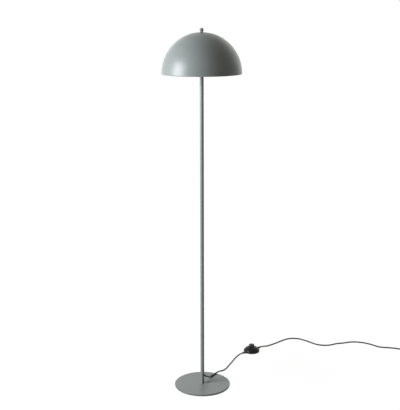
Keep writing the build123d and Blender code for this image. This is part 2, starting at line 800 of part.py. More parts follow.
# The lower housing is a shallow tray with posts for the screws and the lead's clamps.
with BuildPart() as switch_base:
    with BuildSketch(switch_plane.offset(switch_pad_thickness)):
        Circle(switch_radius)
    extrude(amount=switch_parting_height - switch_pad_thickness)
    fillet(switch_base.edges().group_by(Axis.Z)[0], radius=switch_wall / 2)
    with BuildSketch(switch_plane.offset(switch_floor)):
        Circle(switch_radius - switch_wall)
    extrude(amount=switch_parting_height, mode=Mode.SUBTRACT)
    with BuildSketch(switch_plane.offset(switch_floor)):
        with Locations(*post_places):
            Circle(post_diameter / 2)
    extrude(amount=switch_parting_height - switch_floor)
    with BuildSketch(switch_plane.offset(switch_floor)):
        with Locations(*clamp_post_places):
            Circle(clamp_post_diameter / 2)
    extrude(amount=clamp_base - switch_floor)
    with BuildSketch(switch_plane.offset(switch_pad_thickness)):
        with Locations(*post_places):
            Circle(cover_screw_diameter / 2 + running_gap)
    extrude(amount=switch_parting_height, mode=Mode.SUBTRACT)
    with BuildSketch(switch_plane.offset(switch_pad_thickness)):
        with Locations(*post_places):
            Circle(cover_screw_head / 2 + running_gap)
    extrude(amount=cover_screw_head_height + screw_sink, mode=Mode.SUBTRACT)
    with BuildSketch(switch_plane.offset(clamp_base)):
        with Locations(*clamp_post_places):
            Circle(clamp_screw_diameter / 2 + thread_gap)
    extrude(amount=-clamp_screw_reach, mode=Mode.SUBTRACT)
    with BuildSketch(lead_plane):
        Circle(grommet_stub_diameter / 2 + thread_gap)
    extrude(amount=switch_diameter, both=True, mode=Mode.SUBTRACT)
save(switch_base.part, "switch_base")

# The cover is a domed shell with a round hole for the button and a boss over each post.
hole_radius = button_diameter / 2 + running_gap
neck_radius = hole_radius + switch_neck_width
skirt_top = switch_parting_height + switch_skirt_height
with BuildPart() as switch_cover:
    with BuildSketch(switch_side):
        with BuildLine():
            Line((switch_radius, switch_parting_height), (switch_radius, skirt_top))
            ThreePointArc(
                (switch_radius, skirt_top),
                (switch_bulge_radius, switch_bulge_height),
                (neck_radius, switch_cover_top),
            )
            Polyline(
                (neck_radius, switch_cover_top),
                (0, switch_cover_top),
                (0, switch_parting_height),
                (switch_radius, switch_parting_height),
            )
        make_face()
    revolve(axis=switch_middle)
    with BuildSketch(switch_side):
        with BuildLine():
            Line(
                (switch_radius - switch_wall, switch_parting_height),
                (switch_radius - switch_wall, skirt_top),
            )
            ThreePointArc(
                (switch_radius - switch_wall, skirt_top),
                (switch_bulge_radius - switch_wall, switch_bulge_height - switch_wall),
                (neck_radius, switch_cover_top - switch_wall),
            )
            Polyline(
                (neck_radius, switch_cover_top - switch_wall),
                (0, switch_cover_top - switch_wall),
                (0, switch_parting_height),
                (switch_radius - switch_wall, switch_parting_height),
            )
        make_face()
    revolve(axis=switch_middle, mode=Mode.SUBTRACT)
    with BuildSketch(switch_plane.offset(switch_parting_height)):
        with Locations(*post_places):
            Circle(post_diameter / 2)
    extrude(until=Until.NEXT)
    with BuildSketch(switch_plane.offset(switch_parting_height)):
        with Locations(*post_places):
            Circle(cover_screw_diameter / 2 + thread_gap)
    extrude(amount=cover_screw_reach + running_gap, mode=Mode.SUBTRACT)
    with BuildSketch(switch_plane.offset(switch_parting_height)):
        Circle(hole_radius)
    extrude(amount=switch_height, mode=Mode.SUBTRACT)
    with BuildSketch(lead_plane):
        Circle(grommet_stub_diameter / 2 + thread_gap)
    extrude(amount=switch_diameter, both=True, mode=Mode.SUBTRACT)
save(switch_cover.part, "switch_cover")

# The button is a hollow cap whose flange keeps it under the cover.
flange_top = switch_cover_top - switch_wall - running_gap
flange_base = flange_top - button_flange_height
with BuildPart() as switch_button:
    with BuildSketch(switch_plane.offset(flange_base)):
        Circle(button_diameter / 2)
    extrude(amount=switch_height - flange_base)
    fillet(switch_button.edges().group_by(Axis.Z)[-1], radius=button_edge_radius)
    with BuildSketch(switch_plane.offset(flange_base)):
        Circle(button_diameter / 2 + button_flange_width)
    extrude(amount=button_flange_height)
    with BuildSketch(switch_plane.offset(flange_base)):
        Circle(button_diameter / 2 - button_wall)
    extrude(amount=switch_height - button_crown - flange_base, mode=Mode.SUBTRACT)
save(switch_button.part, "switch_button")

# The latching mechanism stands on the tray. Its plunger reaches up to the button.
mechanism_top = switch_floor + mechanism_height
button_inside = switch_height - button_crown
with BuildPart() as switch_mechanism:
    with BuildSketch(switch_plane.offset(switch_floor)):
        Rectangle(mechanism_length, mechanism_width)
    extrude(amount=mechanism_height)
    with BuildSketch(switch_plane.offset(mechanism_top)):
        Circle(plunger_diameter / 2 + running_gap)
    extrude(amount=-(plunger_depth + button_travel + running_gap), mode=Mode.SUBTRACT)
save(switch_mechanism.part, "switch_mechanism")

with BuildPart() as switch_plunger:
    with BuildSketch(switch_plane.offset(mechanism_top - plunger_depth)):
        Circle(plunger_diameter / 2)
    extrude(amount=button_inside - mechanism_top + plunger_depth)
save(switch_plunger.part, "switch_plunger")

# The spring stands round the plunger and pushes the button back up.
spring_base = mechanism_top + spring_wire
spring_height = button_inside - mechanism_top - 2 * spring_wire
with BuildPart() as switch_spring:
    with BuildLine(switch_plane.offset(spring_base)):
        turns = Helix(
            pitch=spring_height / spring_turns, height=spring_height, radius=spring_diameter / 2
        )
    with BuildSketch(Plane(origin=turns @ 0, z_dir=turns % 0)):
        Circle(spring_wire / 2)
    sweep(path=turns)
save(switch_spring.part, "switch_spring")

# Four brass terminals stand on the tray, two on each side of the mechanism.
with BuildPart() as switch_terminals:
    with BuildSketch(switch_plane.offset(switch_floor)):
        with GridLocations(switch_terminal_spread, 2 * switch_terminal_offset, 2, 2):
            Rectangle(switch_terminal_size, switch_terminal_size)
    extrude(amount=switch_terminal_size)
save(switch_terminals.part, "switch_terminals")

# A plate on two posts holds each end of the lead down.
with BuildPart() as switch_clamps:
    with BuildSketch(switch_plane.offset(clamp_base)):
        with GridLocations(2 * clamp_distance, 0, 2, 1):
            Rectangle(clamp_length, clamp_span)
        with Locations(*clamp_post_places):
            Circle(clamp_screw_diameter / 2 + thread_gap, mode=Mode.SUBTRACT)
    extrude(amount=clamp_thickness)
save(switch_clamps.part, "switch_clamps")


def pan_screws(places, underside, shank_diameter, reach, head_diameter, head_height, name):
    """Identical screws in the switch; a negative reach drives them downwards."""
    with BuildPart() as screws:
        with BuildSketch(switch_plane.offset(underside)):
            with Locations(*places):
                Circle(shank_diameter / 2)
        extrude(amount=reach)
        with BuildSketch(switch_plane.offset(underside)):
            with Locations(*places):
                Circle(head_diameter / 2)
        extrude(amount=-head_height if reach > 0 else head_height)
    save(screws.part, name)


pan_screws(
    clamp_post_places,
    clamp_base + clamp_thickness,
    clamp_screw_diameter,
    running_gap - clamp_screw_reach - clamp_thickness,
    clamp_screw_head,
    clamp_screw_head_height,
    "switch_clamp_screws",
)
head_seat = switch_pad_thickness + screw_sink + cover_screw_head_height
pan_screws(
    post_places,
    head_seat,
    cover_screw_diameter,
    switch_parting_height + cover_screw_reach - head_seat,
    cover_screw_head,
    cover_screw_head_height,
    "switch_cover_screws",
)

# Each grommet is moulded on the lead: a stub under the clamp and a taper outside the housing.
grommet_names = ["switch_grommet_in", "switch_grommet_out"]
for side, grommet_name in zip((-1, 1), grommet_names):
    outward = switch_axis * side
    lead_centre = Vector(switch_x, switch_y, switch_parting_height)
    grommet_face = lead_centre + outward * (switch_radius + seat_gap)
    with BuildPart() as grommet:
        with BuildSketch(Plane(origin=lead_centre + outward * grommet_stub_end, z_dir=outward)):
            Circle(grommet_stub_diameter / 2)
        extrude(amount=switch_radius + seat_gap - grommet_stub_end)
        with BuildSketch(Plane(origin=grommet_face, z_dir=outward)):
            Circle(grommet_root_diameter / 2)
        with BuildSketch(Plane(origin=lead_centre + outward * grommet_end, z_dir=outward)):
            Circle(relief_tip_radius)
        loft()
    save(grommet.part, grommet_name)

# ---------------------------------------------------------------- plug
# A flat two-pin body with rounded edges lies on the floor, its pins level.
plug_relief_start = Vector(*plug_lead_end)
plug_back = plug_relief_start + Vector(0, plug_relief_length, 0)
plug_face = plug_back + Vector(0, plug_length, 0)
with BuildPart() as plug_relief:
    with BuildSketch(Plane(origin=plug_relief_start, z_dir=(0, 1, 0))):
        Circle(relief_tip_radius)
    with BuildSketch(Plane(origin=plug_back, z_dir=(0, 1, 0))):
        Circle(plug_relief_root / 2)
    loft()
save(plug_relief.part, "plug_relief")

plug_outline = [
    (-plug_neck_width / 2, 0),
    (-plug_width / 2, plug_shoulder),
    (-plug_width / 2, plug_length),
    (plug_width / 2, plug_length),
    (plug_width / 2, plug_shoulder),
    (plug_neck_width / 2, 0),
]
pin_plane = Plane(origin=plug_face, x_dir=(1, 0, 0), z_dir=(0, 1, 0))
with BuildPart() as plug_body:
    with BuildSketch(Plane(origin=(plug_back.X, plug_back.Y, 0))) as plug_sketch:
        with BuildLine():
            Polyline(*plug_outline, close=True)
        make_face()
        fillet(plug_sketch.vertices(), radius=plug_edge_radius)
    extrude(amount=plug_thickness)
    fillet(
        plug_body.edges().group_by(Axis.Z)[0] + plug_body.edges().group_by(Axis.Z)[-1],
        radius=plug_edge_radius - seat_gap,
    )
    with BuildSketch(pin_plane):
        with GridLocations(pin_spacing, 0, 2, 1):
            Circle(pin_root_diameter / 2 + thread_gap)
    extrude(amount=-pin_depth_in_plug, mode=Mode.SUBTRACT)
save(plug_body.part, "plug_body")

# Each pin has a thinner root that is held in the plug.
with BuildPart() as plug_pins:
    with BuildSketch(pin_plane):
        with GridLocations(pin_spacing, 0, 2, 1):
            Circle(pin_diameter / 2)
    extrude(amount=pin_length)
    fillet(plug_pins.edges().group_by(Axis.Y)[-1], radius=pin_tip_radius)
    with BuildSketch(pin_plane):
        with GridLocations(pin_spacing, 0, 2, 1):
            Circle(pin_root_diameter / 2)
    extrude(amount=-pin_depth_in_plug)
save(plug_pins.part, "plug_pins")
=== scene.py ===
"""The floor lamp as it looks: a half-ball shade on a thin pole, a round base and a foot switch.

Lengths are in metres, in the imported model's own frame: +Z is up, +X to the right, +Y away from the
front. Each section below is one piece, or one group of like pieces, in the order of assembly.
"""

from math import asin, atan2, cos, degrees, hypot, pi, radians, sin, sqrt

import bmesh
import bpy
from mathutils import Matrix, Vector


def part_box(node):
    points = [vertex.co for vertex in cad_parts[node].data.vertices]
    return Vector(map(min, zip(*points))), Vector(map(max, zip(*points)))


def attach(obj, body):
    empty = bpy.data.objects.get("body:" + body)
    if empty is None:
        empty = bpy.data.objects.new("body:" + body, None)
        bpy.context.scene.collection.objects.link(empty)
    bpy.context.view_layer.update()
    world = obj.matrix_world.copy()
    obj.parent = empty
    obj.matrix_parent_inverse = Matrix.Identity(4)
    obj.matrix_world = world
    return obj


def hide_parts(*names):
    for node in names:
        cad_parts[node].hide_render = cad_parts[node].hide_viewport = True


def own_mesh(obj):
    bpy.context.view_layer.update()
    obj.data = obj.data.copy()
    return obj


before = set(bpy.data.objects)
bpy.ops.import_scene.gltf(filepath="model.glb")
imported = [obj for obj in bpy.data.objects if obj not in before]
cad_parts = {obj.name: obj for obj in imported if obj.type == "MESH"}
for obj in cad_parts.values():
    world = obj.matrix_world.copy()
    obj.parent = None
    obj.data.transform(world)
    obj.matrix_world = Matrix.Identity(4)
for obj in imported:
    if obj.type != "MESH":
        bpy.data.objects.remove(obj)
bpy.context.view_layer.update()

collection = bpy.context.scene.collection

# ---------------------------------------------------------------- camera
# The camera stands 3.4 m in front of the lamp, a little above its shade, and looks slightly down.
# Its lens is given as a focal length in pixels of the 400 x 410 frame, whose long side is 410.
camera_place = (-0.00810, -3.41494, 1.55951)
camera_dip = radians(12.697)
camera_roll = radians(-0.160)
focal_length_px = 855.7
frame_height_px = 410.0

lens = bpy.data.cameras.new("camera_lens")
lens.lens = focal_length_px / frame_height_px * lens.sensor_width
camera = bpy.data.objects.new("camera", lens)
camera.location = camera_place
camera.rotation_mode = "ZXY"
camera.rotation_euler = (pi / 2 - camera_dip, 0.0, camera_roll)
collection.objects.link(camera)
bpy.context.scene.camera = camera


# ---------------------------------------------------------------- studio
# A white room without corners: a pale floor, a large soft lamp on the left and two weak ones behind
# that light the edges. The floor and the sky are white to the camera and in reflections only.
def add_node(tree, kind, inputs=(), **settings):
    """Add a node to a tree. An input is named or numbered, and is a value or a socket to link from."""
    made = tree.nodes.new(kind)
    for name, value in settings.items():
        setattr(made, name, value)
    for key, value in dict(inputs).items():
        if isinstance(value, bpy.types.NodeSocket):
            tree.links.new(value, made.inputs[key])
        else:
            made.inputs[key].default_value = value
    return made


def seen_directly(tree):
    """The socket that is 1 for what the camera sees itself, in a reflection or through glass."""
    path = add_node(tree, "ShaderNodeLightPath")
    rays = path.outputs["Is Camera Ray"]
    for name in ("Is Glossy Ray", "Is Transmission Ray"):
        rays = add_node(
            tree, "ShaderNodeMath", {0: rays, 1: path.outputs[name]}, operation="MAXIMUM"
        ).outputs[0]
    return rays


room_white = (1.0, 1.0, 1.0, 1.0)
room_light = (0.070, 0.062, 0.040, 1.0)
floor_white_near, floor_white_far = 0.93, 1.0
floor_near, floor_far = 0.5, 1.6
floor_shadow_depth = 0.12
floor_bounce = (0.32, 0.32, 0.32, 1.0)
floor_radius = 60.0
contact_distance = 0.012
contact_dark, contact_clear = 0.08, 0.42

bpy.context.scene.view_settings.view_transform = "Standard"
world = bpy.data.worlds.new("white_room")
world.use_nodes = True
bpy.context.scene.world = world
room = world.node_tree
sky = add_node(
    room,
    "ShaderNodeMix",
    {0: seen_directly(room), 6: room_light, 7: room_white},
    data_type="RGBA",
)
room.links.new(sky.outputs[2], room.nodes["Background"].inputs["Color"])

floor_paint = bpy.data.materials.new("floor_paint")
floor_paint.use_nodes = True
paint = floor_paint.node_tree
paint.nodes.clear()
ground = add_node(paint, "ShaderNodeTexCoord").outputs["Object"]
from_lamp = add_node(paint, "ShaderNodeVectorMath", {0: ground}, operation="LENGTH")
whiteness = add_node(
    paint,
    "ShaderNodeMapRange",
    {
        "Value": from_lamp.outputs["Value"],
        "From Min": floor_near,
        "From Max": floor_far,
        "To Min": floor_white_near,
        "To Max": floor_white_far,
    },
)
# Close under and beside the lamp's pieces the floor's glow is dimmed by ambient occlusion: painted
# contact shadow.
openness = add_node(
    paint, "ShaderNodeAmbientOcclusion", {"Distance": contact_distance}, samples=8
)
contact = add_node(
    paint,
    "ShaderNodeMapRange",
    {"Value": openness.outputs["AO"], "From Min": contact_dark, "From Max": contact_clear},
)
shine = add_node(
    paint,
    "ShaderNodeMath",
    {0: whiteness.outputs["Result"], 1: contact.outputs["Result"]},
    operation="MULTIPLY",
)
glow = add_node(paint, "ShaderNodeEmission", {"Strength": shine.outputs[0]})
tinge = add_node(
    paint, "ShaderNodeBsdfDiffuse", {"Color": (floor_shadow_depth,) * 3 + (1.0,)}
)
white = add_node(paint, "ShaderNodeAddShader", {0: glow.outputs[0], 1: tinge.outputs[0]})
bounce = add_node(paint, "ShaderNodeBsdfDiffuse", {"Color": floor_bounce})
lit = add_node(
    paint, "ShaderNodeMixShader", {0: seen_directly(paint), 1: bounce.outputs[0], 2: white.outputs[0]}
)
below = add_node(paint, "ShaderNodeNewGeometry")
clear = add_node(paint, "ShaderNodeBsdfTransparent")
one_sided = add_node(
    paint,
    "ShaderNodeMixShader",
    {0: below.outputs["Backfacing"], 1: lit.outputs[0], 2: clear.outputs[0]},
)
add_node(paint, "ShaderNodeOutputMaterial", {"Surface": one_sided.outputs[0]})

floor_mesh = bpy.data.meshes.new("floor")
disc = bmesh.new()
bmesh.ops.create_circle(disc, cap_ends=True, segments=64, radius=floor_radius)
disc.to_mesh(floor_mesh)
disc.free()
floor_mesh.materials.append(floor_paint)
floor = bpy.data.objects.new("floor", floor_mesh)
collection.objects.link(floor)

# Each lamp: its place, what it points at, its width and height, its power and its colour
studio_lamps = {
    "large_soft_left": ((-2.41, -0.97, 1.60), (0.0, 0.0, 1.2), 1.5, 1.75, 129.0, (0.95, 0.95, 1.0)),
    "rim_back_right": ((1.45, 1.75, 1.9), (0.0, 0.0, 1.4), 1.8, 2.0, 8.0, (1.0, 0.98, 0.93)),
    "rim_back_left": ((-0.90, 2.45, 1.6), (0.0, 0.0, 1.1), 1.0, 1.6, 5.0, (1.0, 0.98, 0.93)),
}
for name, (place, target, width, height, power, colour) in studio_lamps.items():
    light = bpy.data.lights.new(name, "AREA")
    light.shape = "RECTANGLE"
    light.size = width
    light.size_y = height
    light.energy = power
    light.color = colour
    lamp = bpy.data.objects.new(name, light)
    lamp.location = place
    lamp.rotation_euler = (Vector(target) - Vector(place)).to_track_quat("-Z", "Y").to_euler()
    collection.objects.link(lamp)


# ---------------------------------------------------------------- mains lead
# A round black PVC lead of 6 mm. It leaves the pole through a drooping relief, passes through the
# foot switch and ends in the plug; the length that isn't needed lies wound into a flat coil.
def new_group(name, kind, inputs, outputs):
    """A node group with named inputs and outputs, and the sockets that its inputs give inside."""
    group = bpy.data.node_groups.new(name, kind)
    for way, sockets in (("INPUT", inputs), ("OUTPUT", outputs)):
        for label, value_kind in sockets.items():
            group.interface.new_socket(label, in_out=way, socket_type="NodeSocket" + value_kind)
    return group, add_node(group, "NodeGroupInput").outputs


def surface_texture():
    """Build the node group for fine grain, and for colour and roughness that wander slowly."""
    group, given = new_group(
        "surface_texture",
        "ShaderNodeTree",
        {
            "Grain size": "Float",
            "Patch size": "Float",
            "Colour": "Color",
            "Colour change": "Float",
            "Roughness": "Float",
            "Roughness change": "Float",
        },
        {"Colour": "Color", "Roughness": "Float", "Height": "Float"},
    )
    place = add_node(group, "ShaderNodeTexCoord").outputs["Object"]

    def noise_of(size, detail):
        """Noise whose lumps have the given size."""
        scale = add_node(group, "ShaderNodeMath", {0: 1.0, 1: size}, operation="DIVIDE")
        inputs = {"Vector": place, "Scale": scale.outputs[0], "Detail": detail}
        return add_node(group, "ShaderNodeTexNoise", inputs).outputs[0]

    def around(middle, spread, noise):
        """A value that strays from its middle by the spread, as the noise says."""
        swing = add_node(
            group, "ShaderNodeMath", {0: noise, 1: 2.0, 2: -1.0}, operation="MULTIPLY_ADD"
        )
        inputs = {0: swing.outputs[0], 1: spread, 2: middle}
        return add_node(group, "ShaderNodeMath", inputs, operation="MULTIPLY_ADD").outputs[0]

    slow = noise_of(given["Patch size"], detail=3.0)
    fine = noise_of(given["Grain size"], detail=2.0)
    brighter = around(1.0, given["Colour change"], slow)
    shaded = add_node(
        group, "ShaderNodeHueSaturation", {"Color": given["Colour"], "Value": brighter}
    )
    results = {
        "Colour": shaded.outputs[0],
        "Roughness": around(given["Roughness"], given["Roughness change"], slow),
        "Height": fine,
    }
    add_node(group, "NodeGroupOutput", results)
    return group


texture_group = surface_texture()


def finish(name, colour, roughness, grain, depth, patch=0.04, change=(0.06, 0.05), **constants):
    """A material with grain of a size and depth in metres; constants go on the shader's own sockets."""
    material = bpy.data.materials.new(name)
    material.use_nodes = True
    tree = material.node_tree
    texture = add_node(
        tree,
        "ShaderNodeGroup",
        {
            "Grain size": grain,
            "Patch size": patch,
            "Colour": (*colour, 1.0),
            "Colour change": change[0],
            "Roughness": roughness,
            "Roughness change": change[1],
        },
        node_tree=texture_group,
    )
    bump = add_node(
        tree, "ShaderNodeBump", {"Height": texture.outputs["Height"], "Distance": depth}
    )
    shader = tree.nodes["Principled BSDF"]
    tree.links.new(texture.outputs["Colour"], shader.inputs["Base Color"])
    tree.links.new(texture.outputs["Roughness"], shader.inputs["Roughness"])
    tree.links.new(bump.outputs["Normal"], shader.inputs["Normal"])
    for socket, value in constants.items():
        shader.inputs[socket.replace("_", " ")].default_value = value
    return material


def fit(piece, body, slot, *nodes):
    """The piece rides on a body and stands for the nodes, which are hidden. The slot is not used."""
    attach(piece, body)
    if nodes:
        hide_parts(*nodes)


lead_sheath = finish(
    "lead_sheath", (0.016, 0.013, 0.011), 0.42, grain=0.0008, depth=0.00002, patch=0.012,
    Specular_IOR_Level=0.3,
)
lead_diameter = 0.006
lead_height = 0.00305
pole_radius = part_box("pole_lower")[1].x
exit_height = 0.042
exit_turn = radians(50.0)
exit_droop = radians(33.0)
relief_length = 0.020
exit_level = Vector((cos(exit_turn), sin(exit_turn), 0.0))
exit_axis = exit_level * cos(exit_droop) - Vector((0.0, 0.0, sin(exit_droop)))
exit_point = exit_level * pole_radius + Vector((0.0, 0.0, exit_height))
relief_end = exit_point + exit_axis * relief_length

switch_low, switch_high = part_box("switch_base")
switch_middle = (switch_low + switch_high) / 2
switch_lead_height = 0.0065
switch_middle.z = switch_lead_height
switch_turn = radians(40.0)
switch_axis = Vector((cos(switch_turn), sin(switch_turn), 0.0))
grommet_end = (switch_high.x - switch_low.x) / 2 + relief_length
lead_in = switch_middle - switch_axis * grommet_end
lead_out = switch_middle + switch_axis * grommet_end
straight_from_pole = 0.012
straight_to_switch = 0.018
straight_from_switch = 0.015

# From the pole it droops on to the base, drops past its edge and wanders to the foot switch.
pole_route = [
    relief_end,
    relief_end + exit_axis * straight_from_pole,
    (0.0280, 0.0425, 0.0166),
    (0.0345, 0.0560, 0.0117),
    (0.0430, 0.0705, 0.0107),
    (0.0520, 0.0840, 0.0107),
    (0.0605, 0.0960, 0.0108),
    (0.0675, 0.1060, 0.0112),
    (0.0760, 0.1220, 0.0075),
    (0.0870, 0.1375, lead_height),
    (0.1020, 0.1515, lead_height),
    (0.1135, 0.1770, lead_height),
    (0.1240, 0.2065, lead_height),
    (0.1370, 0.2390, lead_height),
    (0.1485, 0.2715, lead_height),
    (0.1600, 0.2975, lead_height),
    lead_in - switch_axis * straight_to_switch,
    lead_in,
]

# From the switch it snakes to the right, as far as the coil.
switch_route = [
    lead_out,
    lead_out + switch_axis * straight_from_switch,
    (0.305, 0.421, 0.0037),
    (0.326, 0.436, lead_height),
    (0.352, 0.458, lead_height),
    (0.380, 0.486, lead_height),
    (0.407, 0.511, lead_height),
    (0.437, 0.524, lead_height),
    (0.470, 0.520, lead_height),
    (0.498, 0.498, lead_height),
    (0.524, 0.470, lead_height),
    (0.550, 0.441, lead_height),
    (0.582, 0.431, lead_height),
    (0.614, 0.434, lead_height),
    (0.645, 0.454, lead_height),
    (0.682, 0.460, lead_height),
    (0.714, 0.474, lead_height),
    (0.750, 0.474, lead_height),
    (0.784, 0.461, lead_height),
    (0.812, 0.441, lead_height),
    (0.838, 0.411, lead_height),
    (0.866, 0.403, lead_height),
    (0.900, 0.397, lead_height),
    (0.928, 0.387, lead_height),
    (0.951, 0.375, lead_height),
    (0.976, 0.375, lead_height),
]

# The coil winds inwards on the floor, climbs, and winds outwards again on top of itself.
coil_middle = Vector((1.000, 0.414, 0.0))
coil_radius = 0.033
coil_turns = 4.25
coil_steps = 16
coil_pitch = 0.0062
inmost_stay = 0.125
climb_start, climb_end = 1.90, 2.35
tie_turn = radians(205.0)
tie_width = 0.014
tie_thickness = 0.0009
tie_rise_start, tie_rise_end = 0.3, 1.2


def smooth_step(value, start, end):
    """0 up to the start, 1 from the end on, and an even S between them."""
    share = min(max((value - start) / (end - start), 0.0), 1.0)
    return share * share * (3 - 2 * share)


coil_route = []
for step in range(int(coil_turns * coil_steps)):
    turns = (step + 0.5) / coil_steps
    angle = 2 * pi * turns - pi / 2
    inward = min(turns, coil_turns - turns, coil_turns / 2 - inmost_stay)
    reach = (coil_radius + coil_pitch - coil_pitch * inward) / cos(pi / coil_steps)
    off_tie = (angle - tie_turn + pi) % (2 * pi) - pi
    height = lead_height + lead_diameter * smooth_step(turns, climb_start, climb_end)
    height += tie_thickness * (1 - smooth_step(abs(off_tie), tie_rise_start, tie_rise_end))
    coil_route.append(coil_middle + Vector((reach * cos(angle), reach * sin(angle), height)))

plug_low, plug_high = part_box("plug_body")
plug_height = (plug_low.z + plug_high.z) / 2
coil_top = lead_height + lead_diameter
plug_route = [
    (1.0392, 0.4380, coil_top),
    (1.0390, 0.4470, coil_top),
    (1.0390, 0.4650, plug_height),
    (1.0390, 0.4740, plug_height),
]


def lay_lead(name, route):
    """A smooth lead whose NURBS line has the route's points as its control points."""
    line = bpy.data.curves.new(name, "CURVE")
    line.dimensions = "3D"
    line.bevel_depth = lead_diameter / 2
    line.bevel_resolution = 5
    line.resolution_u = 8
    line.use_fill_caps = True
    spline = line.splines.new("NURBS")
    spline.points.add(len(route) - 1)
    for point, place in zip(spline.points, route):
        point.co = (*place, 1.0)
    spline.order_u = 3
    spline.use_endpoint_u = True
    line.materials.append(lead_sheath)
    lead = bpy.data.objects.new(name, line)
    collection.objects.link(lead)
    return lead


lead_to_switch = lay_lead("lead_to_switch", pole_route)
fit(lead_to_switch, "lamp_stand", "cord_sheath", "cord_pole_run")
lead_to_plug = lay_lead("lead_to_plug", switch_route + coil_route + plug_route)
fit(
    lead_to_plug, "lamp_stand", "cord_sheath", "cord_switch_run", "cord_coil", "cord_plug_run"
)


# ---------------------------------------------------------------- base
# A turned steel disc of 6 mm with a rounded top edge, powder coated all over, on a foam ring. A
# countersunk screw comes up through its middle into the pole.
def set_finish(material, *nodes):
    """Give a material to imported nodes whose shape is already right."""
    for name in nodes:
        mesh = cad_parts[name].data
        mesh.materials.clear()
        mesh.materials.append(material)


def settle(piece):
    """Turn what the piece's modifiers make of it into its own plain mesh."""
    bpy.context.view_layer.update()
    shape = piece.evaluated_get(bpy.context.evaluated_depsgraph_get())
    plain = bpy.data.meshes.new_from_object(shape)
    materials = [material for material in plain.materials if material]
    plain.materials.clear()
    for material in materials:
        plain.materials.append(material)
    piece.modifiers.clear()
    piece.data = plain
    plain.name = piece.name


def with_nodes(name, mesh, tree, **inputs):
    """A piece that a geometry tree makes from a mesh, settled into a plain mesh."""
    piece = bpy.data.objects.new(name, mesh)
    collection.objects.link(piece)
    modifier = piece.modifiers.new("shape", "NODES")
    modifier.node_group = tree
    sockets = {i.name: i.identifier for i in tree.interface.items_tree if i.in_out == "INPUT"}
    for label, value in inputs.items():
        modifier[sockets[label.replace("_", " ")]] = value
    settle(piece)
    return piece


def close_tree(tree, shape, material):
    """End a geometry tree: its instances are made real and it gets its material."""
    real = add_node(tree, "GeometryNodeRealizeInstances", {0: shape})
    painted = add_node(tree, "GeometryNodeSetMaterial", {0: real.outputs[0], "Material": material})
    add_node(tree, "NodeGroupOutput", {0: painted.outputs[0]})
    return tree


def turning_tree():
    """Build the tree that turns an outline round the upright axis; wear also scales its thread."""
    tree, given = new_group(
        "turned_piece",
        "GeometryNodeTree",
        {
            "Outline": "Geometry",
            "Steps": "Int",
            "Thread depth": "Float",
            "Thread pitch": "Float",
            "Material": "Material",
        },
        {"Piece": "Geometry"},
    )

    def maths(operation, first, second=0.0):
        """The result of a sum on two values."""
        return add_node(
            tree, "ShaderNodeMath", {0: first, 1: second}, operation=operation
        ).outputs[0]

    outline = given["Outline"]
    count = add_node(tree, "GeometryNodeAttributeDomainSize", {0: outline}).outputs["Point Count"]
    columns = maths("ADD", given["Steps"], 1.0)
    grid = add_node(tree, "GeometryNodeMeshGrid", {"Vertices X": columns, "Vertices Y": count})
    index = add_node(tree, "GeometryNodeInputIndex").outputs[0]
    row = maths("MODULO", index, count)
    column = maths("FLOOR", maths("DIVIDE", index, count))
    turn = maths("MULTIPLY", maths("DIVIDE", column, given["Steps"]), 2 * pi)
    place = add_node(tree, "GeometryNodeInputPosition").outputs[0]
    wear = add_node(
        tree, "GeometryNodeInputNamedAttribute", {"Name": "wear"}, data_type="FLOAT"
    ).outputs["Attribute"]
    place_there = add_node(
        tree,
        "GeometryNodeSampleIndex",
        {"Geometry": outline, "Value": place, "Index": row},
        data_type="FLOAT_VECTOR",
    )
    wear_there = add_node(
        tree,
        "GeometryNodeSampleIndex",
        {"Geometry": outline, "Value": wear, "Index": row},
        data_type="FLOAT",
    )
    turned_place = add_node(
        tree,
        "ShaderNodeVectorRotate",
        {"Vector": place_there.outputs[0], "Angle": turn},
        rotation_type="Z_AXIS",
    )
    height = add_node(tree, "ShaderNodeSeparateXYZ", {0: place_there.outputs[0]}).outputs["Z"]
    rise = maths("MULTIPLY", maths("DIVIDE", height, given["Thread pitch"]), 2 * pi)
    wave = maths("COSINE", maths("SUBTRACT", rise, turn))
    depth = maths("MULTIPLY", maths("MULTIPLY", wave, given["Thread depth"]), wear_there.outputs[0])
    outwards = add_node(
        tree,
        "ShaderNodeCombineXYZ",
        {0: maths("MULTIPLY", maths("COSINE", turn), depth),
         1: maths("MULTIPLY", maths("SINE", turn), depth)},
    )
    threaded_place = add_node(
        tree, "ShaderNodeVectorMath", {0: turned_place.outputs[0], 1: outwards.outputs[0]}
    )
    marked = add_node(
        tree,
        "GeometryNodeStoreNamedAttribute",
        {"Geometry": grid.outputs["Mesh"], "Name": "wear", "Value": wear_there.outputs[0]},
        data_type="FLOAT",
    )
    moved = add_node(
        tree, "GeometryNodeSetPosition", {0: marked.outputs[0], "Position": threaded_place.outputs[0]}
    )
    closed = add_node(
        tree, "GeometryNodeMergeByDistance", {"Geometry": moved.outputs[0], "Distance": 1e-6}
    )
    smooth = add_node(tree, "GeometryNodeSetShadeSmooth", {"Geometry": closed.outputs[0]})
    return close_tree(tree, smooth.outputs[0], given["Material"])


turned_piece = turning_tree()
sharp_angle = radians(30.0)


def arc(centre_x, centre_z, radius, start, end, steps, wear=0.0):
    """Outline points along an arc, its angles in degrees from level."""
    points = []
    for step in range(steps + 1):
        angle = radians(start + (end - start) * step / steps)
        points.append((centre_x + radius * cos(angle), centre_z + radius * sin(angle), wear))
    return points


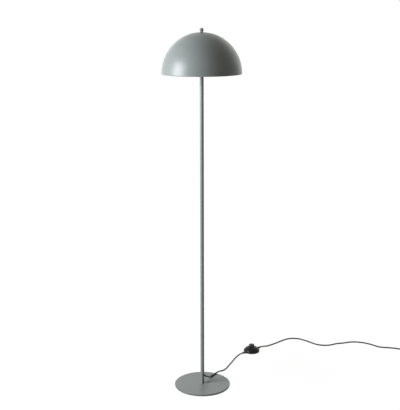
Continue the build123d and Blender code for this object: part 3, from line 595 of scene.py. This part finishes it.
def turned(name, outline, steps, material, axis=(0.0, 0.0), depth=0.0, pitch=1.0):
    """A closed piece turned from an outline of (radius, height, wear), as seen from the side."""
    area = sum(a[0] * b[1] - b[0] * a[1] for a, b in zip(outline, outline[1:] + outline[:1]))
    points = outline if area > 0 else outline[::-1]
    if points[0][0] > 0:
        points = points + points[:1]
    mesh = bpy.data.meshes.new(name)
    edges = [(number, number + 1) for number in range(len(points) - 1)]
    mesh.from_pydata([(x, 0.0, z) for x, z, wear in points], edges, [])
    worn = mesh.attributes.new("wear", "FLOAT", "POINT")
    worn.data.foreach_set("value", [wear for x, z, wear in points])
    piece = with_nodes(
        name,
        mesh,
        turned_piece,
        Steps=steps,
        Thread_depth=depth,
        Thread_pitch=pitch,
        Material=material,
    )
    piece.data.transform(Matrix.Translation((*axis, 0.0)))
    piece.data.set_sharp_from_angle(angle=sharp_angle)
    return piece


coat_colour = (0.228, 0.258, 0.250)
# The darker edge colour is worn coat, and painted shade on the base's wall and top edge.
coat_edge_wear_and_shade_colour = (0.105, 0.110, 0.092)
coat_edge_roughness = 0.45
powder_coat = finish(
    "powder_coat",
    coat_colour,
    0.37,
    grain=0.0011,
    depth=0.00003,
    patch=0.06,
    change=(0.035, 0.04),
)


# Along an edge the coat draws thin and looks darker, in broken patches. On the base's side wall and
# rounded top edge the same darkening is painted shade.
dark_patch_scale = 160.0
dark_patch_start, dark_patch_full = 0.30, 0.52


def edge_wear_and_shade():
    """Build the node group that changes a colour and a roughness along edges, in patches: worn coat,
    and painted shade on the base's wall and top edge.
    """
    group, given = new_group(
        "edge_wear_and_shade",
        "ShaderNodeTree",
        {
            "Colour": "Color",
            "Worn colour": "Color",
            "Roughness": "Float",
            "Worn roughness": "Float",
            "Amount": "Float",
        },
        {"Colour": "Color", "Roughness": "Float"},
    )
    edge = add_node(group, "ShaderNodeAttribute", attribute_name="wear").outputs["Fac"]
    place = add_node(group, "ShaderNodeTexCoord").outputs["Object"]
    patches = add_node(
        group, "ShaderNodeTexNoise", {"Vector": place, "Scale": dark_patch_scale, "Detail": 4.0}
    )
    broken = add_node(
        group,
        "ShaderNodeMapRange",
        {
            "Value": patches.outputs[0],
            "From Min": dark_patch_start,
            "From Max": dark_patch_full,
        },
    )
    darkened_edge = add_node(
        group, "ShaderNodeMath", {0: edge, 1: broken.outputs[0]}, operation="MULTIPLY"
    )
    share = add_node(
        group, "ShaderNodeMath", {0: darkened_edge.outputs[0], 1: given["Amount"]}, operation="MULTIPLY"
    ).outputs[0]
    colour = add_node(
        group,
        "ShaderNodeMix",
        {0: share, 6: given["Colour"], 7: given["Worn colour"]},
        data_type="RGBA",
    )
    roughness = add_node(
        group,
        "ShaderNodeMix",
        {0: share, 2: given["Roughness"], 3: given["Worn roughness"]},
        data_type="FLOAT",
    )
    results = {"Colour": colour.outputs[2], "Roughness": roughness.outputs[0]}
    add_node(group, "NodeGroupOutput", results)
    return group


edge_wear_and_shade_group = edge_wear_and_shade()


def add_edge_wear_and_shade(material, worn_colour, worn_roughness, amount):
    """Mix the thin coat's colour and roughness in where the wear attribute marks an edge; on the base's
    wall and top edge the darker colour is painted shade.
    """
    tree = material.node_tree
    shader = tree.nodes["Principled BSDF"]
    darkened_edge = add_node(
        tree,
        "ShaderNodeGroup",
        {
            "Colour": shader.inputs["Base Color"].links[0].from_socket,
            "Worn colour": (*worn_colour, 1.0),
            "Roughness": shader.inputs["Roughness"].links[0].from_socket,
            "Worn roughness": worn_roughness,
            "Amount": amount,
        },
        node_tree=edge_wear_and_shade_group,
    )
    tree.links.new(darkened_edge.outputs["Colour"], shader.inputs["Base Color"])
    tree.links.new(darkened_edge.outputs["Roughness"], shader.inputs["Roughness"])


# The coat darkens in patches along marked edges: painted shade on the base's wall and top edge.
add_edge_wear_and_shade(powder_coat, coat_edge_wear_and_shade_colour, coat_edge_roughness, amount=0.8)

base_low, base_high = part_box("base_plate")
base_radius = base_high.x
base_edge_radius = 0.0013
base_foot_bevel = 0.0004
screw_hole_radius = 0.0043
countersink_radius = 0.0083
countersink_depth = countersink_radius - screw_hole_radius
edge_margin = 0.0012
# The base's side wall gets the darker edge colour as well, half of it at its foot: painted shade.
base_wall_painted_shade = 0.5
base_outline = [
    (screw_hole_radius, base_low.z + countersink_depth, 0.0),
    (countersink_radius, base_low.z, 0.0),
    (base_radius - base_foot_bevel, base_low.z, base_wall_painted_shade),
    (base_radius, base_low.z + base_foot_bevel, base_wall_painted_shade),
    *arc(base_radius - base_edge_radius, base_high.z - base_edge_radius, base_edge_radius,
         0, 90, steps=8, wear=1.0),
    (base_radius - base_edge_radius - edge_margin, base_high.z, 0.0),
    (screw_hole_radius, base_high.z, 0.0),
]
base_disc = turned("base_disc", base_outline, steps=192, material=powder_coat)
fit(base_disc, "lamp_stand", "painted_steel", "base_plate")

base_foam = finish(
    "base_foam", (0.020, 0.020, 0.021), 0.92, grain=0.0009, depth=0.0003, patch=0.01
)
set_finish(base_foam, "base_pad")
zinc_plate = finish(
    "zinc_plate", (0.56, 0.56, 0.54), 0.36, grain=0.0012, depth=0.00002, patch=0.008,
    change=(0.08, 0.10), Metallic=1.0,
)
set_finish(zinc_plate, "base_screw", "pole_foot_insert")

# ---------------------------------------------------------------- pole
# Three steel tubes of 16 mm, butted on threaded couplers and powder coated like the base, with a
# flanged bush at the top. The lead runs up inside, to a threaded nipple under the lampholder.
set_finish(powder_coat, "pole_lower", "pole_middle", "pole_upper", "pole_top_bush")
set_finish(zinc_plate, "pole_coupler_lower", "pole_coupler_upper", "top_nipple")
set_finish(lead_sheath, "inner_flex")

# ---------------------------------------------------------------- gland
# A soft black moulding on the lead, snapped into the pole's side hole. Its plain tail tapers down
# to the lead.
soft_moulding = finish(
    "soft_moulding", (0.013, 0.012, 0.011), 0.50, grain=0.0007, depth=0.00004, patch=0.01
)
set_finish(soft_moulding, "cord_gland")

# ---------------------------------------------------------------- harp
# A bent strip saddle held by a washer and a hexagon nut, a wire loop locked by two sleeves, and
# the drilled stud that carries the shade. All of it is zinc plated.
set_finish(zinc_plate, "harp_saddle", "saddle_washer", "saddle_nut", "harp_loop", "harp_stud")
set_finish(zinc_plate, "harp_ferrule_left", "harp_ferrule_right")

# ---------------------------------------------------------------- lampholder
# A black moulded cup and shell for a 27 mm screw cap, round a ceramic core with brass contacts.
# The shell has upright ribs for the fingers.
holder_black = finish(
    "holder_black", (0.022, 0.022, 0.023), 0.38, grain=0.0007, depth=0.00003, patch=0.01
)
set_finish(holder_black, "lampholder_cap", "lampholder_shell")


def marks_tree():
    """Build the tree that sets a smooth raised mark on each point, with its own size and turn."""
    tree, given = new_group(
        "raised_marks",
        "GeometryNodeTree",
        {"Points": "Geometry", "Steps": "Int", "Material": "Material"},
        {"Marks": "Geometry"},
    )
    size, turn = [
        add_node(
            tree, "GeometryNodeInputNamedAttribute", {"Name": name}, data_type="FLOAT_VECTOR"
        ).outputs["Attribute"]
        for name in ("size", "turn")
    ]
    turned_by = add_node(tree, "FunctionNodeEulerToRotation", {0: turn})
    rows = add_node(
        tree, "ShaderNodeMath", {0: given["Steps"], 1: 2.0}, operation="DIVIDE"
    )
    mark = add_node(
        tree,
        "GeometryNodeMeshUVSphere",
        {"Segments": given["Steps"], "Rings": rows.outputs[0], "Radius": 1.0},
    )
    smooth = add_node(tree, "GeometryNodeSetShadeSmooth", {"Geometry": mark.outputs["Mesh"]})
    placed = add_node(
        tree,
        "GeometryNodeInstanceOnPoints",
        {
            "Points": given["Points"],
            "Instance": smooth.outputs[0],
            "Rotation": turned_by.outputs[0],
            "Scale": size,
        },
    )
    return close_tree(tree, placed.outputs[0], given["Material"])


raised_marks = marks_tree()


def raise_marks(name, places, steps, material):
    """One piece of raised marks, from a list of (place, half sizes, turn)."""
    mesh = bpy.data.meshes.new(name)
    mesh.from_pydata([place for place, size, turn in places], [], [])
    for label, column in (("size", 1), ("turn", 2)):
        layer = mesh.attributes.new(label, "FLOAT_VECTOR", "POINT")
        layer.data.foreach_set("vector", [number for row in places for number in row[column]])
    return with_nodes(name, mesh, raised_marks, Steps=steps, Material=material)


shell_low, shell_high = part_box("lampholder_shell")
grip_count = 32
grip_size = (0.0009, 0.0008, 0.0125)
grip_places = []
for number in range(grip_count):
    angle = 2 * pi * number / grip_count
    place = (shell_high.x * cos(angle), shell_high.x * sin(angle), (shell_low.z + shell_high.z) / 2)
    grip_places.append((place, grip_size, (0.0, 0.0, angle)))
holder_grips = raise_marks("holder_grips", grip_places, steps=16, material=holder_black)
fit(holder_grips, "lamp_stand", "holder_plastic")

core_ceramic = finish(
    "core_ceramic", (0.72, 0.69, 0.62), 0.62, grain=0.0006, depth=0.00004, patch=0.006
)
set_finish(core_ceramic, "lampholder_core")
bright_brass = finish(
    "bright_brass", (0.72, 0.53, 0.25), 0.30, grain=0.0009, depth=0.00001, patch=0.005,
    change=(0.10, 0.08), Metallic=1.0,
)
set_finish(bright_brass, "lampholder_contact", "lampholder_terminals")

thread_pitch = 0.00363
thread_margin = 0.0025
sleeve_low, sleeve_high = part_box("lampholder_sleeve")
sleeve_wall = 0.0007
sleeve_thread_depth = 0.0004


def threaded_wall(radius, low, high, steps=60):
    """Outline points up a straight wall, whose thread fades out towards both ends."""
    points = []
    for step in range(steps + 1):
        height = low + (high - low) * step / steps
        from_end = min(height - low, high - height)
        points.append((radius, height, smooth_step(from_end, 0.0, thread_margin)))
    return points


sleeve_outline = [
    *threaded_wall(sleeve_high.x, sleeve_low.z, sleeve_high.z),
    *threaded_wall(sleeve_high.x - sleeve_wall, sleeve_low.z, sleeve_high.z)[::-1],
]
threaded_sleeve = turned(
    "threaded_sleeve", sleeve_outline, steps=96, material=bright_brass,
    depth=sleeve_thread_depth, pitch=thread_pitch,
)
fit(threaded_sleeve, "lamp_stand", "brass", "lampholder_sleeve")

# ---------------------------------------------------------------- bulb
# A round opal glass of 60 mm on a rolled metal screw cap, with a black glass insulator and a
# soldered contact below. It screws into the lampholder.
opal_white = finish(
    "opal_white", (0.86, 0.86, 0.84), 0.22, grain=0.004, depth=0.00001, patch=0.02,
    change=(0.01, 0.04), Subsurface_Weight=0.35, Coat_Weight=0.4,
)
set_finish(opal_white, "bulb_glass")
cap_metal = finish(
    "cap_metal", (0.66, 0.66, 0.64), 0.28, grain=0.0010, depth=0.00001, patch=0.004,
    change=(0.06, 0.08), Metallic=1.0,
)
cap_low, cap_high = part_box("bulb_cap")
cap_wall = 0.0005
cap_thread_depth = 0.0004
cap_thread_radius = cap_high.x - cap_thread_depth
cap_collar = 0.0020
cap_shoulder = 0.0006
cap_outline = [
    (0.0, cap_low.z, 0.0),
    (cap_thread_radius - cap_shoulder, cap_low.z, 0.0),
    *threaded_wall(cap_thread_radius, cap_low.z + cap_shoulder, cap_high.z - cap_collar),
    (cap_high.x, cap_high.z - cap_collar + cap_shoulder, 0.0),
    (cap_high.x, cap_high.z, 0.0),
    (cap_high.x - cap_wall, cap_high.z, 0.0),
    *threaded_wall(
        cap_thread_radius - cap_wall, cap_low.z + cap_shoulder, cap_high.z - cap_collar
    )[::-1],
    (0.0, cap_low.z + cap_shoulder, 0.0),
]
threaded_cap = turned(
    "threaded_cap", cap_outline, steps=96, material=cap_metal,
    depth=cap_thread_depth, pitch=thread_pitch,
)
fit(threaded_cap, "bulb", "bulb_metal", "bulb_cap")
cap_glass = finish(
    "cap_glass", (0.012, 0.010, 0.014), 0.16, grain=0.0020, depth=0.00001, patch=0.004
)
set_finish(cap_glass, "bulb_insulator")
set_finish(bright_brass, "bulb_contact")

# ---------------------------------------------------------------- shade
# Half a ball spun from 1 mm steel, with a small pressed flat for the stud and a hem rolled round
# a wire at its rim. It is powder coated, and its inside is white enamel.
shade_low, shade_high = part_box("shade")
hem_radius = 0.0025
hem_proud = 0.0004
dome_radius = shade_high.x - hem_proud
dome_height = shade_low.z + hem_radius
shade_wall = 0.001
flat_radius = 0.011
stud_hole_radius = 0.0035
hem_centre = dome_radius + hem_proud - hem_radius
dome_steps = 56
hem_steps = 24
inner_radius = dome_radius - shade_wall
outer_end = 90 - degrees(asin(flat_radius / dome_radius))
inner_flat_radius = sqrt(inner_radius**2 - (shade_high.z - shade_wall - dome_height) ** 2)
inner_end = 90 - degrees(asin(inner_flat_radius / inner_radius))
hem_start = 64.0
hem_end = 360 + 33.0
outer_start = degrees(asin(hem_radius * sin(radians(hem_end)) / dome_radius))
inner_start = degrees(asin(hem_radius * sin(radians(hem_start)) / inner_radius))
shade_outline = [
    *arc(0.0, dome_height, dome_radius, outer_start, outer_end, dome_steps),
    (stud_hole_radius, shade_high.z, 0.0),
    (stud_hole_radius, shade_high.z - shade_wall, 0.0),
    *arc(0.0, dome_height, inner_radius, inner_end, inner_start, dome_steps),
    *arc(hem_centre, dome_height, hem_radius, hem_start, hem_end, hem_steps)[1:-1],
]
spun_shade = turned("spun_shade", shade_outline, steps=256, material=powder_coat)

white_enamel = finish(
    "white_enamel", (0.78, 0.78, 0.75), 0.42, grain=0.0011, depth=0.00003, patch=0.05,
    change=(0.02, 0.04),
)
spun_shade.data.materials.append(white_enamel)
facing_down = -0.9
for face in spun_shade.data.polygons:
    from_middle = (face.center - Vector((0.0, 0.0, dome_height))).length
    inside = from_middle < dome_radius - shade_wall / 2 and face.center.z > dome_height + hem_radius
    under_flat = face.normal.z < facing_down and face.center.z > shade_high.z - 2 * shade_wall
    if inside and face.center.z < shade_high.z - shade_wall / 2 or under_flat:
        face.material_index = 1
fit(spun_shade, "shade", "painted_steel", "shade")

# ---------------------------------------------------------------- finial
# A steel ball turned with its short collar from one bar, and powder coated like the shade. It
# screws down on the stud and holds the shade.
finial_low, finial_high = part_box("finial")
ball_radius = finial_high.x
ball_height = finial_high.z - ball_radius
collar_radius = 0.00575
collar_bevel = 0.0006
bore_radius = 0.00305
bore_depth = 0.0083
neck_angle = degrees(asin(sqrt(1 - (collar_radius / ball_radius) ** 2)))
finial_outline = [
    (0.0, finial_low.z + bore_depth, 0.0),
    (bore_radius, finial_low.z + bore_depth, 0.0),
    (bore_radius, finial_low.z, 0.0),
    (collar_radius - collar_bevel, finial_low.z, 0.0),
    (collar_radius, finial_low.z + collar_bevel, 0.0),
    *arc(0.0, ball_height, ball_radius, -neck_angle, 90, steps=24, wear=0.6),
]
turned_finial = turned("turned_finial", finial_outline, steps=64, material=powder_coat)
fit(turned_finial, "finial", "painted_steel", "finial")

# ---------------------------------------------------------------- foot switch
# A round glossy moulding of two halves on a rubber ring. The cover has a low ledge round its dome
# and a collar round the sprung button, whose top has rings for the sole.
gloss_black = finish(
    "gloss_black", (0.0085, 0.0085, 0.0095), 0.20, grain=0.0030, depth=0.00002, patch=0.02,
    change=(0.10, 0.06), Specular_IOR_Level=0.16,
)
set_finish(gloss_black, "switch_base", "switch_mechanism", "switch_clamps")
cover_low, cover_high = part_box("switch_cover")
cover_radius = (cover_high.x - cover_low.x) / 2
cover_wall = 0.0020
cover_edge = 0.0004
rim_radius = 0.0050
rim_end = 52.0
ledge_width = 0.0007
step_rise = 0.0004
bulge_radius, bulge_height = 0.0278, 0.0182
collar_radius_out = 0.0148
collar_rise = 0.0006
hole_radius = 0.0128
cover_steps = 28
switch_axis_place = (switch_middle.x, switch_middle.y)


def arc_through(first, middle, last, steps):
    """Outline points along the circle through three points of (radius, height)."""
    (ax, az), (bx, bz), (cx, cz) = first, middle, last
    double_area = 2 * (ax * (bz - cz) + bx * (cz - az) + cx * (az - bz))
    a2, b2, c2 = ax * ax + az * az, bx * bx + bz * bz, cx * cx + cz * cz
    centre_x = (a2 * (bz - cz) + b2 * (cz - az) + c2 * (az - bz)) / double_area
    centre_z = (a2 * (cx - bx) + b2 * (ax - cx) + c2 * (bx - ax)) / double_area
    start, end = [degrees(atan2(z - centre_z, x - centre_x)) for x, z in (first, last)]
    return arc(centre_x, centre_z, hypot(ax - centre_x, az - centre_z), start, end, steps)


rim = arc(cover_radius - rim_radius, cover_low.z, rim_radius, 0, rim_end, steps=10)
ledge_radius, ledge_height = rim[-1][0] - ledge_width, rim[-1][1]
dome_foot = (ledge_radius - step_rise / 2, ledge_height + step_rise)
dome_top = (collar_radius_out + collar_rise, cover_high.z - collar_rise)
cover_outline = [
    (cover_radius - cover_wall, cover_low.z, 0.0),
    *rim,
    (ledge_radius, ledge_height, 0.0),
    *arc_through(dome_foot, (bulge_radius, bulge_height), dome_top, cover_steps),
    (collar_radius_out, cover_high.z, 0.0),
    (hole_radius + cover_edge, cover_high.z, 0.0),
    (hole_radius, cover_high.z - cover_edge, 0.0),
    (hole_radius, cover_high.z - cover_wall, 0.0),
    *arc_through(
        (dome_foot[0] - cover_wall, dome_foot[1]),
        (bulge_radius - cover_wall, bulge_height - cover_wall),
        (collar_radius_out, dome_top[1] - cover_wall),
        cover_steps,
    )[::-1],
]
domed_cover = turned(
    "domed_cover", cover_outline, steps=128, material=gloss_black, axis=switch_axis_place
)

# Three bosses under the cover take its screws.
boss_circle = 0.027
boss_radius = 0.004
boss_bore = 0.0016
boss_height = 0.009
boss_depth = 0.0063
boss_outline = [
    (0.0, cover_low.z + boss_depth, 0.0),
    (boss_bore, cover_low.z + boss_depth, 0.0),
    (boss_bore, cover_low.z, 0.0),
    (boss_radius, cover_low.z, 0.0),
    (boss_radius, cover_low.z + boss_height, 0.0),
    (0.0, cover_low.z + boss_height, 0.0),
]


def add_copies(piece, part, places):
    """Add a copy of the part to the piece at each place, then remove the part."""
    whole = bmesh.new()
    whole.from_mesh(piece.data)
    for place in places:
        count = len(whole.verts)
        whole.from_mesh(part.data)
        bmesh.ops.translate(whole, verts=list(whole.verts)[count:], vec=place)
    whole.to_mesh(piece.data)
    whole.free()
    bpy.data.objects.remove(part)


boss = turned("boss", boss_outline, steps=24, material=gloss_black, axis=switch_axis_place)
boss_places = [
    Matrix.Rotation(switch_turn + radians(bearing), 3, "Z") @ Vector((boss_circle, 0.0, 0.0))
    for bearing in (90.0, 210.0, 330.0)
]
add_copies(domed_cover, boss, boss_places)
fit(domed_cover, "lamp_stand", "switch_plastic", "switch_cover")

button_black = finish(
    "button_black", (0.020, 0.020, 0.021), 0.45, grain=0.0008, depth=0.00005, patch=0.01,
    Specular_IOR_Level=0.3,
)
set_finish(button_black, "switch_plunger")

# The spring is wound from 0.8 mm wire, with a closed turn at each end.
spring_low, spring_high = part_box("switch_spring")
spring_wire = 0.0008
spring_open_turns = 5
spring_end_turns = 1
spring_steps = 32


def wire_tree():
    """Build the tree that runs a round wire along a line of edges."""
    tree, given = new_group(
        "round_wire",
        "GeometryNodeTree",
        {"Line": "Geometry", "Wire radius": "Float", "Steps": "Int", "Material": "Material"},
        {"Wire": "Geometry"},
    )
    line = add_node(tree, "GeometryNodeMeshToCurve", {0: given["Line"]})
    section = add_node(
        tree,
        "GeometryNodeCurvePrimitiveCircle",
        {"Resolution": given["Steps"], "Radius": given["Wire radius"]},
    )
    wire = add_node(
        tree,
        "GeometryNodeCurveToMesh",
        {"Curve": line.outputs[0], "Profile Curve": section.outputs[0], "Fill Caps": True},
    )
    smooth = add_node(tree, "GeometryNodeSetShadeSmooth", {"Geometry": wire.outputs[0]})
    return close_tree(tree, smooth.outputs[0], given["Material"])


spring_axis = (spring_low + spring_high) / 2
spring_reach = (spring_high.x - spring_low.x - spring_wire) / 2
open_rise = spring_high.z - spring_low.z - (2 * spring_end_turns + 1) * spring_wire
spring_line = []
for step in range((spring_open_turns + 2 * spring_end_turns) * spring_steps + 1):
    turns = step / spring_steps
    open_turns = min(max(turns - spring_end_turns, 0.0), spring_open_turns)
    closed_turns = turns - open_turns
    height = spring_low.z + spring_wire * (0.5 + closed_turns)
    height += open_rise * open_turns / spring_open_turns
    angle = 2 * pi * turns
    place = (spring_axis.x + spring_reach * cos(angle), spring_axis.y + spring_reach * sin(angle))
    spring_line.append((*place, height))
spring_mesh = bpy.data.meshes.new("button_spring")
spring_links = [(number, number + 1) for number in range(len(spring_line) - 1)]
spring_mesh.from_pydata(spring_line, spring_links, [])
button_spring = with_nodes(
    "button_spring",
    spring_mesh,
    wire_tree(),
    Wire_radius=spring_wire / 2,
    Steps=10,
    Material=zinc_plate,
)
fit(button_spring, "lamp_stand", "zinc_steel", "switch_spring")
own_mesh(button_spring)
button_low, button_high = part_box("switch_button")
flange_radius = (button_high.x - button_low.x) / 2
flange_height = 0.0022
button_radius = 0.0125
button_wall = 0.0020
button_crown = 0.0040
button_round = 0.0025
groove_depth = 0.0005
groove_width = 0.0009
groove_radii = (0.0085, 0.0065, 0.0045, 0.0025)
button_outline = [
    (button_radius - button_wall, button_low.z, 0.0),
    (flange_radius, button_low.z, 0.0),
    (flange_radius, button_low.z + flange_height, 0.0),
    (button_radius, button_low.z + flange_height, 0.0),
    *arc(button_radius - button_round, button_high.z - button_round, button_round, 0, 90, steps=10),
]
for radius in groove_radii:
    button_outline += [
        (radius + groove_width / 2, button_high.z, 0.0),
        (radius + groove_width / 4, button_high.z - groove_depth, 0.0),
        (radius - groove_width / 4, button_high.z - groove_depth, 0.0),
        (radius - groove_width / 2, button_high.z, 0.0),
    ]
button_outline += [
    (0.0, button_high.z, 0.0),
    (0.0, button_high.z - button_crown, 0.0),
    (button_radius - button_wall, button_high.z - button_crown, 0.0),
]
ringed_button = turned(
    "ringed_button", button_outline, steps=96, material=button_black, axis=switch_axis_place
)
fit(ringed_button, "foot_button", "button_plastic", "switch_button")

set_finish(soft_moulding, "switch_grommet_in", "switch_grommet_out")
ring_proud = 0.0006
ring_half_width = 0.0011


def relief_rings(name, start, end, root_radius, tip_radius, count):
    """Rings along a tapered relief, each a little wider than the taper is there."""
    turn = (end - start).to_track_quat("Z", "Y").to_euler()
    places = []
    for number in range(count):
        share = (number + 1.0) / (count + 0.5)
        radius = root_radius + (tip_radius - root_radius) * share + ring_proud
        places.append((start.lerp(end, share), (radius, radius, ring_half_width), turn))
    return raise_marks(name, places, steps=32, material=soft_moulding)


relief_tip_radius = 0.0035
grommet_root_radius = 0.005
grommet_rings = []
for name, tip in (("grommet_rings_in", lead_in), ("grommet_rings_out", lead_out)):
    root = tip + (switch_middle - tip).normalized() * relief_length
    rings = relief_rings(name, root, tip, grommet_root_radius, relief_tip_radius, count=6)
    fit(rings, "lamp_stand", "soft_plastic")
    grommet_rings.append(rings)

foot_rubber = finish(
    "foot_rubber", (0.018, 0.018, 0.018), 0.80, grain=0.0008, depth=0.0001, patch=0.01
)
set_finish(foot_rubber, "switch_pad")
set_finish(zinc_plate, "switch_clamp_screws", "switch_cover_screws")
set_finish(bright_brass, "switch_terminals")

# ---------------------------------------------------------------- plug
# A flat black two-pin plug, moulded on the lead with its ringed relief. Its brass pins have
# plastic sleeves next to the body, and ribs on its sides give the fingers a hold.
set_finish(soft_moulding, "plug_body", "plug_relief")
relief_low, relief_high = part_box("plug_relief")
plug_root_radius = (relief_high.x - relief_low.x) / 2
lead_end = Vector(plug_route[-1])
plug_back = Vector((lead_end.x, plug_low.y, lead_end.z))
plug_rings = relief_rings(
    "plug_rings", plug_back, lead_end, plug_root_radius, relief_tip_radius, count=8
)
fit(plug_rings, "lamp_stand", "soft_plastic")

plug_grip_rows = 5
plug_grip_step = 0.0034
plug_grip_size = (0.0006, 0.0008, 0.0042)
plug_grip_reach = 0.0195
plug_grip_start = plug_high.y - plug_grip_reach
plug_grip_places = []
for side in (plug_low.x, plug_high.x):
    for row in range(plug_grip_rows):
        place = (side, plug_grip_start + row * plug_grip_step, plug_height)
        plug_grip_places.append((place, plug_grip_size, (0.0, 0.0, 0.0)))
plug_grips = raise_marks("plug_grips", plug_grip_places, steps=16, material=soft_moulding)
fit(plug_grips, "lamp_stand", "soft_plastic")

pins_low, pins_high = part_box("plug_pins")
pin_radius = 0.0020
pin_sleeve = 0.0100
pin_step = 0.0001
pin_round = 0.0016
pin_length = pins_high.y - plug_high.y
pin_root = pins_low.y - plug_high.y
pin_outline = [
    (0.0, pin_root, 0.0),
    (pin_radius - 3 * pin_step, pin_root, 0.0),
    (pin_radius - 3 * pin_step, 0.0, 0.0),
    (pin_radius, 0.0, 0.0),
    (pin_radius, pin_sleeve, 0.0),
    (pin_radius - pin_step, pin_sleeve + pin_step, 0.0),
    *arc(pin_radius - pin_step - pin_round, pin_length - pin_round, pin_round, 0, 90, steps=6),
    (0.0, pin_length, 0.0),
]
sleeved_pins = turned("sleeved_pins", pin_outline, steps=24, material=bright_brass)
sleeved_pins.data.materials.append(soft_moulding)
for face in sleeved_pins.data.polygons:
    face.material_index = int(0.0 <= face.center.z <= pin_sleeve + pin_step)
lying = Matrix.Rotation(-pi / 2, 4, "X")
first_pin = Matrix.Translation((pins_low.x + pin_radius, plug_high.y, plug_height))
sleeved_pins.data.transform(first_pin @ lying)
second_pin = sleeved_pins.copy()
second_pin.data = sleeved_pins.data.copy()
add_copies(sleeved_pins, second_pin, [(pins_high.x - pins_low.x - 2 * pin_radius, 0.0, 0.0)])
fit(sleeved_pins, "lamp_stand", "brass", "plug_pins")

# ---------------------------------------------------------------- tie
# A black woven hook-and-loop strap of 14 mm goes once round the coil's turns and holds them
# together. Its end is lapped over the top.
strap_fabric = finish(
    "strap_fabric", (0.020, 0.020, 0.022), 0.88, grain=0.0005, depth=0.0002, patch=0.006,
    Sheen_Weight=0.25,
)
strap_inner, strap_outer = 0.0236, 0.0399
strap_bottom = 0.0009
strap_gap = 0.0001
strap_top = coil_top + lead_diameter / 2 + tie_thickness + strap_gap
strap_corner = 0.0022
lap_start, lap_end = 0.0262, 0.0382


def rounded_loop(left, right, bottom, top, radius):
    """Points round an upright rectangle with round corners."""
    loop = []
    for x, z, start in (
        (right - radius, bottom + radius, -90),
        (right - radius, top - radius, 0),
        (left + radius, top - radius, 90),
        (left + radius, bottom + radius, 180),
    ):
        loop += [(x, z) for x, z, wear in arc(x, z, radius, start, start + 90, steps=6)]
    return loop


def woven_strap(name, outside, inside):
    """A strap of the tie's width, between an outer and an inner loop of (reach, height)."""
    strap = bmesh.new()
    rows = [
        [strap.verts.new((x, across, z)) for x, z in loop]
        for loop in (outside, inside)
        for across in (-tie_width / 2, tie_width / 2)
    ]
    outer_front, outer_back, inner_front, inner_back = rows
    for first, second in (
        (outer_front, outer_back),
        (outer_back, inner_back),
        (inner_back, inner_front),
        (inner_front, outer_front),
    ):
        for here in range(len(first)):
            after = (here + 1) % len(first)
            strap.faces.new((first[here], first[after], second[after], second[here]))
    bmesh.ops.recalc_face_normals(strap, faces=strap.faces)
    strap.transform(Matrix.Translation(coil_middle) @ Matrix.Rotation(tie_turn, 4, "Z"))
    mesh = bpy.data.meshes.new(name)
    strap.to_mesh(mesh)
    strap.free()
    mesh.materials.append(strap_fabric)
    piece = bpy.data.objects.new(name, mesh)
    collection.objects.link(piece)
    return piece


coil_strap = woven_strap(
    "coil_strap",
    rounded_loop(
        strap_inner - tie_thickness, strap_outer + tie_thickness,
        strap_bottom - tie_thickness, strap_top + tie_thickness, strap_corner + tie_thickness,
    ),
    rounded_loop(strap_inner, strap_outer, strap_bottom, strap_top, strap_corner),
)
fit(coil_strap, "lamp_stand", "soft_plastic")
lap_share = 0.9
lap_core_low, lap_core_high = 0.4, 0.6
lap_core_corner = 0.05
lap_thickness = tie_thickness * lap_share
strap_lap = woven_strap(
    "strap_lap",
    rounded_loop(
        lap_start, lap_end, strap_top + tie_thickness, strap_top + tie_thickness + lap_thickness,
        lap_thickness / 2,
    ),
    rounded_loop(
        lap_start + lap_thickness / 2, lap_end - lap_thickness / 2,
        strap_top + tie_thickness + lap_thickness * lap_core_low,
        strap_top + tie_thickness + lap_thickness * lap_core_high,
        lap_thickness * lap_core_corner,
    ),
)
fit(strap_lap, "lamp_stand", "soft_plastic")

# ---------------------------------------------------------------- the pieces on the lead
# Two lengths of the same round lead. The one from the pole to the switch is 0.37 m, and the one from
# the switch is 1.77 m with its coil and ends in the moulded plug. The foot switch's pieces are gathered
# here.
switch_pieces = [
    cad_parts[name]
    for name in sorted(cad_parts)
    if name.startswith("switch_")
    and name not in ("switch_grommet_out", "switch_cover", "switch_button", "switch_spring")
]
switch_pieces += [domed_cover, ringed_button, button_spring, grommet_rings[0]]
